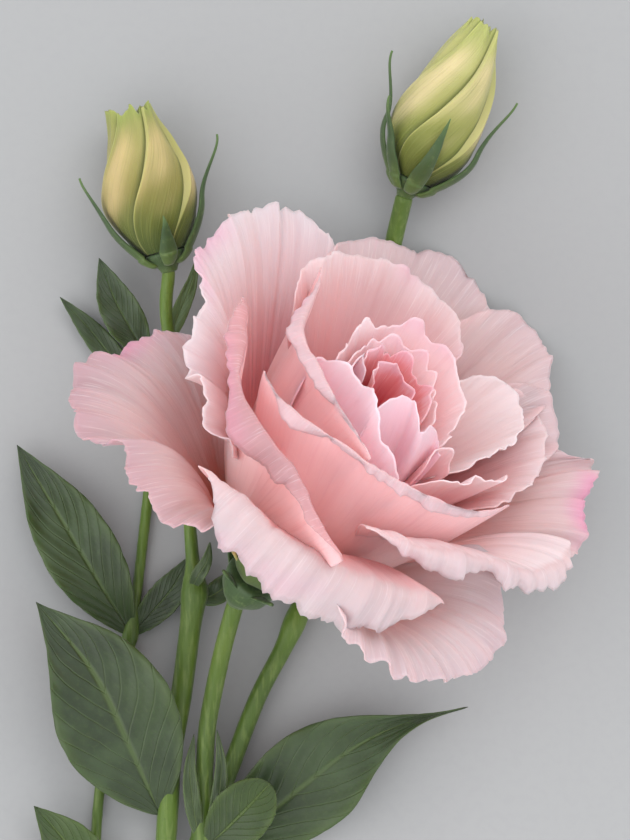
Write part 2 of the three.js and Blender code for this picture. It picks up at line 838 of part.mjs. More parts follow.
// Stalk routes as [across, down, height] and a radius each.
const FORK_LOW = [160, 905, 2.7];
const FORK_UPPER = [203, 838, 3.7];
const NODE_BUD = [195, 590, 5];
const STALKS = [
  {
    route: [[146, 1062, 2], [150, 1000, 2.1], FORK_LOW],
    radius: MAIN_STEM_RADIUS,
  },
  {
    route: [FORK_LOW, [166, 840, 3.4], [172, 752, 4], [181, 697, 4.4], NODE_BUD],
    radius: MAIN_STEM_RADIUS - 0.15,
  },
  {
    route: [NODE_BUD, [186, 480, 5], [173, 360, 6], [166, 310, 7], budStalkEnd(BUDS.left_bud)],
    radius: BUD_STALK_RADIUS,
  },
  {
    route: [FORK_LOW, [184, 872, 3.3], FORK_UPPER],
    radius: BLOOM_STALK_RADIUS,
  },
  {
    route: [
      FORK_UPPER, [204, 783, 4.6], [207, 730, 6], [214, 690, 6.6], [224, 645, 7.2],
      bloomStalkEnd,
    ],
    radius: BLOOM_STALK_RADIUS,
  },
  {
    route: [
      FORK_UPPER, [225, 783, 3.6], [258, 697, 3.6], [287, 640, 3.2], [318, 560, 2.4],
      [352, 440, 1.9], [380, 310, 2], [394, 240, 3.4], budStalkEnd(BUDS.right_bud),
    ],
    radius: BLOOM_STALK_RADIUS,
  },
  {
    route: [
      [148, 1030, 2], [112, 975, 1.4], [97, 900, 1.2], [97, 820, 1.2], [112, 710, 1.2],
      [131, 632, 1.2], [143, 540, 1.2], [152, 440, 1.3], [146, 355, 1.6],
    ],
    radius: SIDE_STEM_RADIUS,
  },
];
const SWELLINGS = [
  { at: FORK_LOW, radius: 2.6 },
  { at: FORK_UPPER, radius: 2.3 },
  { at: NODE_BUD, radius: 2.5 },
  { at: [294, 622, 3.2], radius: 2.1 },
  { at: [131, 632, 1.4], radius: 1.6 },
  { at: [148, 1030, 2.2], radius: 2.4 },
  { at: [146, 355, 1.6], radius: 1.3 },
];
const TUBE_SIDES = 8;
const TUBE_STEP = 9;

function tube(route, radius) {
  const points = route.map((stop) => (Array.isArray(stop) ? place(stop) : stop));
  const path = new THREE.CatmullRomCurve3(points, false, "centripetal");
  const section = new THREE.Shape();
  for (let k = 0; k < TUBE_SIDES; k++) {
    const angle = (k / TUBE_SIDES) * 2 * Math.PI;
    const corner = [radius * Math.cos(angle), radius * Math.sin(angle)];
    if (k === 0) section.moveTo(...corner);
    else section.lineTo(...corner);
  }
  const steps = Math.max(3, Math.round(path.getLength() / TUBE_STEP));
  return solidOf(new THREE.ExtrudeGeometry(section, { extrudePath: path, steps }));
}

function ball(centre, radius) {
  const geometry = new THREE.SphereGeometry(radius, 8, 5);
  geometry.translate(centre.x, centre.y, centre.z);
  return solidOf(geometry);
}

function stemSolid(extra) {
  return joined([
    ...STALKS.map(({ route, radius }) => tube(route, radius + extra)),
    ...SWELLINGS.map(({ at, radius }) => ball(place(at), radius + extra)),
  ]);
}

const FLOOR = new THREE.BoxGeometry(400, 400, 20).translate(0, 0, -10);
const floorSolid = solidOf(FLOOR);

const spray = new THREE.Group();
spray.position.set(...ORIGIN_SHIFT, 0);

function addPiece(name, solid, colour, roughness) {
  const found = mainBody(solid.subtract(floorSolid)).getMesh();
  const geometry = new THREE.BufferGeometry();
  geometry.setAttribute("position", new THREE.BufferAttribute(found.vertProperties, 3));
  geometry.setIndex(new THREE.BufferAttribute(found.triVerts, 1));
  geometry.computeVertexNormals();
  const material = new THREE.MeshStandardMaterial({ color: colour, roughness, metalness: 0 });
  const mesh = new THREE.Mesh(geometry, material);
  mesh.name = name;
  spray.add(mesh);
}

const stem = stemSolid(0);
const stemRoom = stemSolid(CLEARANCE);
addPiece("stem", stem, STEM_COLOUR, 0.55);

const bloom = joined([receptacle, ...Object.values(PETALS).map(petal)]);
addPiece("bloom_petals", bloom.subtract(stemRoom), PETAL_COLOUR, 0.6);

const calyxCup = turnedOnBloom(
  [
    [0, -CALYX_DEPTH], [1.9, -CALYX_DEPTH], [4.2, -CALYX_DEPTH / 2], [CALYX_RADIUS, -1],
    [CALYX_RADIUS - 0.7, 0], [0, 0],
  ],
  14,
);
const bloomSepals = SEPAL_AZIMUTHS.map((azimuth) => bloomSepal(azimuth, SEPAL_LENGTH, SEPAL_BEND));
addPiece("bloom_calyx", joined([calyxCup, ...bloomSepals]).subtract(stemRoom), SEPAL_COLOUR, 0.6);

for (const [name, bud] of Object.entries(BUDS)) {
  addPiece(name + "_petals", budPetals(bud), BUD_COLOUR, 0.6);
  addPiece(name + "_calyx", budCalyx(bud), SEPAL_COLOUR, 0.6);
}

for (const [name, shape] of Object.entries(LEAVES)) {
  const colour = name.startsWith("leaf") ? LEAF_COLOUR : BRACT_COLOUR;
  addPiece(name, leaf(shape).subtract(stemRoom), colour, 0.5);
}

export default spray;
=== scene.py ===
"""The finished look of a cut spray of lisianthus that lies on a pale surface, seen from above.
One double bloom, two buds, the branched stem and its leaves. Shapes are in millimetres and become
metres as each mesh is made. The frame's solids are stood for by finer pieces of the same form."""

import math

import bpy
import numpy as np
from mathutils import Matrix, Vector


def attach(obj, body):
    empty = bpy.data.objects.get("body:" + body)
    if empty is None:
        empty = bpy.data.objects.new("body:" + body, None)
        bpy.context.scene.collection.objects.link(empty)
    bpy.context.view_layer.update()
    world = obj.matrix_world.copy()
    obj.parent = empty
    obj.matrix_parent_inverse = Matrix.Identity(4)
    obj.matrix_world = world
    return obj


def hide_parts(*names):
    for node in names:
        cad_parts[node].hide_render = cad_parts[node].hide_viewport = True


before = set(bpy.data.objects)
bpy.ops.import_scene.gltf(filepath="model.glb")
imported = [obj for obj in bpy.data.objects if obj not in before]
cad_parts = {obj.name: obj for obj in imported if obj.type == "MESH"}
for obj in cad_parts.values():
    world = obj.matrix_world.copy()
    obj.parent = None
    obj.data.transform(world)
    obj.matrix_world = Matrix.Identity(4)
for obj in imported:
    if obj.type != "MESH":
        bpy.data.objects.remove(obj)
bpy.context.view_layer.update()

# Driving dimensions, in millimetres and degrees, as in the frame's source.
CLEARANCE = 0.3
MAIN_STEM_RADIUS = 2.1
BLOOM_STALK_RADIUS = 1.6
BUD_STALK_RADIUS = 1.2
SIDE_STEM_RADIUS = 1.0
BLOOM_LEAN = 53.5
BLOOM_HEADING = 54
BLOOM_BASE_HEIGHT = 12.4
CALYX_RADIUS = 5.2
CALYX_DEPTH = 7.5

# Places are drawn on a picture of the spray taken from straight above: steps across and down from
# its corner, with the height over the surface in millimetres.
EYE_HEIGHT = 700
STEP_AT_SURFACE = 0.1779
PICTURE_SIZE = np.array([630, 840])
ORIGIN_SHIFT = np.array([1.7, 21.6, 0.0])
LEAST_HEIGHT = 0.05
MM = 0.001
UV_STEP = 50.0
UP = np.array([0.0, 0.0, 1.0])


def place(spot):
    """A place of the picture with its height over the surface."""
    across, down, height = spot
    step = STEP_AT_SURFACE*(1-height/EYE_HEIGHT)
    middle = PICTURE_SIZE/2
    return np.array([(across-middle[0])*step, (middle[1]-down)*step, height])+ORIGIN_SHIFT


def smooth(start, stop, x):
    u = np.clip((x-start)/(stop-start), 0, 1)
    return u*u*(3-2*u)


def unit(v):
    return v/np.maximum(np.linalg.norm(v, axis=-1, keepdims=True), 1e-9)


def lattice(rows, columns):
    """Shares from root to tip as a column, and from one side to the other as a row."""
    return np.linspace(0, 1, rows+1)[:, None], np.linspace(-1, 1, columns+1)[None, :]


class Curve:
    """A centripetal Catmull-Rom curve through points, read by its share of length."""

    SAMPLES = 600
    NEAR = 0.004

    def __init__(self, points):
        points = np.array(points, float)
        ends = 2*points[0]-points[1], 2*points[-1]-points[-2]
        padded = np.vstack([ends[0], points, ends[1]])
        count = len(points)-1
        rows = []
        for t in np.linspace(0, count, self.SAMPLES+1):
            k = min(int(t), count-1)
            rows.append(self.piece(padded[k:k+4], t-k))
        self.points = np.array(rows)
        steps = np.linalg.norm(np.diff(self.points, axis=0), axis=1)
        self.shares = np.concatenate([[0], np.cumsum(steps)])
        self.length = self.shares[-1]
        self.shares /= self.length

    @staticmethod
    def piece(p, t):
        d0, d1, d2 = [max(np.linalg.norm(p[i+1]-p[i])**0.5, 1e-4) for i in range(3)]
        t1 = ((p[1]-p[0])/d0-(p[2]-p[0])/(d0+d1)+(p[2]-p[1])/d1)*d1
        t2 = ((p[2]-p[1])/d1-(p[3]-p[1])/(d1+d2)+(p[3]-p[2])/d2)*d1
        return p[1]+t1*t+(-3*p[1]+3*p[2]-2*t1-t2)*t*t+(2*p[1]-2*p[2]+t1+t2)*t**3

    def at(self, share):
        return np.stack([np.interp(share, self.shares, self.points[:, k]) for k in range(3)], -1)

    def ahead(self, share):
        return unit(self.at(np.minimum(share+self.NEAR, 1))-self.at(np.maximum(share-self.NEAR, 0)))


class Ripple:
    """Smooth seeded noise along one line or over a grid, from -1 to 1."""

    SIZE = 64

    def __init__(self, seed):
        self.table = np.random.default_rng(seed).uniform(-1, 1, (self.SIZE, self.SIZE))

    def line(self, x, row=0):
        k = np.floor(x).astype(int)
        u = smooth(0, 1, x-k)
        return self.cell(row, k)*(1-u)+self.cell(row, k+1)*u

    def cell(self, i, j):
        return self.table[i % self.SIZE, j % self.SIZE]

    def grid(self, x, y):
        x, y = np.broadcast_arrays(x, y)
        i, j = np.floor(x).astype(int), np.floor(y).astype(int)
        u, v = smooth(0, 1, x-i), smooth(0, 1, y-j)
        low = self.cell(i, j)*(1-u)+self.cell(i+1, j)*u
        high = self.cell(i, j+1)*(1-u)+self.cell(i+1, j+1)*u
        return low*(1-v)+high*v

    def waves(self, x, table):
        """Waves of several lengths, each from its own row of the noise and with its own share."""
        return sum(self.line(x/length, row)*share for length, row, share in table)


# Materials. Colours are given as the eye sees them, from 0 to 255.

def colour(red, green, blue):
    shares = [v/255 for v in (red, green, blue)]
    return tuple(v/12.92 if v < 0.04045 else ((v+0.055)/1.055)**2.4 for v in shares)+(1.0,)


class Paint:
    """Builds one node material step by step. Across and along are its surface coordinates."""

    def __init__(self, name, roughness, specular):
        self.material = bpy.data.materials.new(name)
        self.material.use_nodes = True
        self.tree = self.material.node_tree
        self.shader = self.tree.nodes["Principled BSDF"]
        self.shader.inputs["Roughness"].default_value = roughness
        self.shader.inputs["Specular IOR Level"].default_value = specular
        coordinates = self.node("TexCoord")
        split = self.node("SeparateXYZ")
        self.feed(split.inputs[0], coordinates.outputs["UV"])
        self.spot = coordinates.outputs["Object"]
        self.across, self.along = split.outputs["X"], split.outputs["Y"]

    def node(self, kind, **values):
        node = self.tree.nodes.new("ShaderNode"+kind)
        for key, value in values.items():
            setattr(node, key, value)
        return node

    def feed(self, socket, value):
        if isinstance(value, bpy.types.NodeSocket):
            self.tree.links.new(value, socket)
        elif isinstance(value, tuple):
            socket.default_value = colour(*value)
        else:
            socket.default_value = value

    def math(self, operation, *values):
        node = self.node("Math", operation=operation)
        for socket, value in zip(node.inputs, values):
            self.feed(socket, value)
        return node.outputs[0]

    def times(self, first, second):
        return self.math("MULTIPLY", first, second)

    def plus(self, first, second):
        return self.math("ADD", first, second)

    def centred(self, value, span):
        """Spreads a value from 0 to 1 evenly round zero."""
        return self.math("MULTIPLY_ADD", value, span, -span/2)

    def stretched(self, x, y, z):
        node = self.node("VectorMath", operation="MULTIPLY")
        self.feed(node.inputs[0], self.spot)
        node.inputs[1].default_value = (x, y, z)
        return node.outputs[0]

    def noise(self, vector, scale, detail):
        node = self.node("TexNoise")
        self.feed(node.inputs["Vector"], vector)
        for key, number in (("Scale", scale), ("Detail", detail), ("Roughness", 0.55)):
            self.feed(node.inputs[key], number)
        return node.outputs[0]

    def clouds(self, scale, detail):
        return self.noise(self.spot, scale, detail)

    def fibres(self, across, along, detail):
        """Noise drawn out along the surface, finer across it than along it."""
        node = self.node("CombineXYZ")
        self.feed(node.inputs[0], self.times(self.across, across))
        self.feed(node.inputs[1], self.times(self.along, along))
        return self.noise(node.outputs[0], 1.0, detail)

    def fit(self, value, low, high, start=0.0, stop=1.0):
        node = self.node("MapRange", interpolation_type="SMOOTHSTEP")
        self.feed(node.inputs["Value"], value)
        for key, number in zip(("From Min", "From Max", "To Min", "To Max"), (low, high, start, stop)):
            self.feed(node.inputs[key], number)
        return node.outputs[0]

    def ramp(self, value, stops):
        node = self.node("ValToRGB")
        self.feed(node.inputs[0], value)
        elements = node.color_ramp.elements
        while len(elements) < len(stops):
            elements.new(0.5)
        for element, (position, shade) in zip(elements, stops):
            element.position = position
            element.color = colour(*shade)
        return node.outputs[0]

    def blend(self, share, first, second):
        node = self.node("Mix", data_type="RGBA")
        for k, value in zip((0, 6, 7), (share, first, second)):
            self.feed(node.inputs[k], value)
        return node.outputs[2]

    def relief(self, height, depth, strength):
        node = self.node("Bump")
        self.feed(node.inputs["Height"], height)
        node.inputs["Distance"].default_value = depth*MM
        node.inputs["Strength"].default_value = strength
        self.feed(self.shader.inputs["Normal"], node.outputs[0])

    def finish(self, base, glow=0.0, reach=(1.0, 0.45, 0.35), depth=3.0, sheen=0.0):
        """Sets the colour, and how much light goes into the surface, how far by colour and deep."""
        self.feed(self.shader.inputs["Base Color"], base)
        self.shader.inputs["Subsurface Weight"].default_value = glow
        self.shader.inputs["Subsurface Radius"].default_value = reach
        self.shader.inputs["Subsurface Scale"].default_value = depth*MM
        self.shader.inputs["Sheen Weight"].default_value = sheen
        return self.material


OLIVE = (176, 176, 104)
BLUSH = (216, 118, 156)
PALE_VEIN = (232, 208, 209)
PETAL_GLOW = 0.5
PETAL_REACH = (1.0, 0.5, 0.42)
GREEN_REACH = (0.5, 1.0, 0.3)


def petal_paint(name, layer):
    """Petal colour runs from claw to rim; fine veins fan out to the rim, which blushes in patches."""
    paint = Paint(name, 0.52, 0.25)
    along = paint.along
    jitter = layer.get("jitter", 1.0)
    fibre = paint.fibres(62.0, 2.2, 4.0)
    fine = paint.fibres(190.0, 5.0, 2.0)
    broad = paint.centred(paint.clouds(55.0, 2.0), 0.16*jitter)
    shift = paint.plus(broad, paint.centred(fibre, 0.12*jitter))
    base = paint.ramp(paint.plus(along, shift), layer["stops"])
    lines = paint.times(paint.fit(fibre, 0.5, 0.72), paint.fit(along, 0.25, 0.8, 0.1, 0.3))
    base = paint.blend(lines, base, layer["vein"])
    pale = paint.times(paint.fit(fine, 0.55, 0.75), paint.fit(along, 0.5, 0.95, 0.0, 0.35))
    base = paint.blend(pale, base, PALE_VEIN)
    patch = paint.fit(paint.clouds(38.0, 1.0), 0.55, 0.68)
    rim = paint.times(paint.times(paint.fit(along, 0.86, 1.0), patch), layer["blush_share"])
    base = paint.blend(rim, base, layer.get("blush", BLUSH))
    paint.relief(paint.plus(paint.times(fibre, 0.8), paint.times(fine, 0.35)), 0.22, 0.75)
    return paint.finish(base, layer.get("glow", PETAL_GLOW), PETAL_REACH, 3.2, 0.12)


# Meshes.

def add_mesh(name, points, faces, across, along, material, slot, node):
    """A finished piece: points in millimetres, with across and along as its surface coordinates."""
    points = np.array(points, float)
    points[:, 2] = np.maximum(points[:, 2], LEAST_HEIGHT)
    mesh = bpy.data.meshes.new(name)
    mesh.from_pydata((points*MM).tolist(), [], faces)
    layer = mesh.uv_layers.new(name="UVMap")
    corners = np.empty(len(mesh.loops), int)
    mesh.loops.foreach_get("vertex_index", corners)
    table = np.stack([np.asarray(across).ravel(), np.asarray(along).ravel()], -1)
    layer.data.foreach_set("uv", table[corners].ravel())
    shade_smooth(mesh)
    mesh.materials.append(material)
    mesh.validate()
    piece = bpy.data.objects.new(name, mesh)
    bpy.context.scene.collection.objects.link(piece)
    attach(piece, "root")
    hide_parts(node)
    return piece


def shade_smooth(mesh):
    mesh.polygons.foreach_set("use_smooth", np.ones(len(mesh.polygons), bool))


def normals_of(grid):
    return unit(np.cross(np.gradient(grid, axis=0), np.gradient(grid, axis=1)))


def blade_parts(grid, thickness, across, along):
    """A thin closed blade on a grid of rows and columns, as points, faces and coordinates."""
    rows, columns = grid.shape[0]-1, grid.shape[1]-1
    half = normals_of(grid)*(np.broadcast_to(thickness, grid.shape[:2])/2)[..., None]
    count = grid.shape[0]*grid.shape[1]
    points = np.concatenate([(grid+half).reshape(-1, 3), (grid-half).reshape(-1, 3)])
    index = np.arange(count).reshape(grid.shape[:2])
    a, b = index[:-1, :-1].ravel(), index[:-1, 1:].ravel()
    c, d = index[1:, :-1].ravel(), index[1:, 1:].ravel()
    faces = np.stack([a, c, d, b], -1).tolist()
    faces += (np.stack([a, b, d, c], -1)+count).tolist()
    ring = [*index[:, 0], *index[rows, 1:], *index[-2::-1, columns], *index[0, -2:0:-1]]
    for p, q in zip(ring, ring[1:]+ring[:1]):
        faces.append([int(q), int(p), int(count+p), int(count+q)])
    across = np.broadcast_to(across, grid.shape[:2])
    along = np.broadcast_to(along, grid.shape[:2])
    return points, faces, np.stack([across, across]), np.stack([along, along])


def ring_faces(rows, sides):
    """Faces of a closed skin of rings, with a cap at each end."""
    index = np.arange(rows*sides).reshape(rows, sides)
    after = np.roll(index, -1, axis=1)
    faces = np.stack([index[:-1], after[:-1], after[1:], index[1:]], -1).reshape(-1, 4).tolist()
    return faces+[index[0][::-1].tolist(), index[-1].tolist()]


def turned(profile, sides, origin, axis, side, up, wobble, seed):
    """A smooth solid turned round an axis from (radius, height) points."""
    line = Curve([[r, h, 0] for r, h in profile]).at(np.linspace(0, 1, 40))
    angles = np.linspace(0, 2*np.pi, sides, endpoint=False)
    ripple = Ripple(seed)
    points = []
    for k, (radius, height, _) in enumerate(line):
        ring = max(radius, 0.01)*(1+wobble*ripple.grid(angles*2.2, k/7))
        arms = np.outer(ring*np.cos(angles), side)+np.outer(ring*np.sin(angles), up)
        points.append(origin+axis*height+arms)
    rows = len(line)
    along = np.repeat(np.linspace(0, 1, rows), sides)
    across = np.tile(angles/6, rows)
    return np.array(points).reshape(-1, 3), ring_faces(rows, sides), across, along


def tube_parts(path, radii, sides):
    """A closed tube along points with a radius at each."""
    ahead = unit(np.gradient(path, axis=0))
    normal = unit(np.cross(ahead[0], UP))
    angles = np.linspace(0, 2*np.pi, sides, endpoint=False)
    points = []
    for centre, tangent, radius in zip(path, ahead, radii):
        normal = unit(normal-tangent*normal.dot(tangent))
        side = np.cross(tangent, normal)
        points.append(centre+radius*(np.outer(np.cos(angles), normal)+np.outer(np.sin(angles), side)))
    blank = np.zeros(len(path)*sides)
    return np.array(points).reshape(-1, 3), ring_faces(len(path), sides), blank, blank


def merged(parts):
    points, faces, across, along, offset = [], [], [], [], 0
    for p, f, x, y in parts:
        points.append(p)
        faces += [[offset+k for k in face] for face in f]
        across.append(np.asarray(x).ravel())
        along.append(np.asarray(y).ravel())
        offset += len(p)
    return np.concatenate(points), faces, np.concatenate(across), np.concatenate(along)


# The bloom's own frame: azimuth 0 is its side, and azimuth 90 its low side.
BLOOM_BASE = place([255, 575, BLOOM_BASE_HEIGHT])
lean, heading = math.radians(BLOOM_LEAN), math.radians(BLOOM_HEADING)
level = np.array([math.cos(heading), math.sin(heading), 0])
BLOOM_AXIS = level*math.sin(lean)+UP*math.cos(lean)
BLOOM_SIDE = np.cross(level, UP)
BLOOM_LOW = level*math.cos(lean)-UP*math.sin(lean)
BLOOM_FRAME = (BLOOM_BASE, BLOOM_AXIS, BLOOM_SIDE, BLOOM_LOW)


def outward(azimuth):
    turn = np.radians(np.asarray(azimuth, float))[..., None]
    return BLOOM_SIDE*np.cos(turn)+BLOOM_LOW*np.sin(turn)


def in_bloom(azimuth, radius, height):
    radius = np.asarray(radius, float)[..., None]
    height = np.asarray(height, float)[..., None]
    return BLOOM_BASE+outward(azimuth)*radius+BLOOM_AXIS*height


def seen_in_bloom(spot):
    """The point seen at a place of the picture that lies at a height along the bloom's axis."""
    across, down, height = spot
    low = place([across, down, 0])
    rise = place([across, down, 1])-low
    short = height-(low-BLOOM_BASE).dot(BLOOM_AXIS)
    return low+rise*short/rise.dot(BLOOM_AXIS)


def azimuth_of(point):
    arm = point-BLOOM_BASE
    return np.degrees(np.arctan2(arm@BLOOM_LOW, arm@BLOOM_SIDE))


def slanted(azimuth, slope, turned=0.0):
    angle = np.radians(slope[0]+turned)[..., None]
    return slope[1]*(outward(azimuth)*np.sin(angle)+BLOOM_AXIS*np.cos(angle))


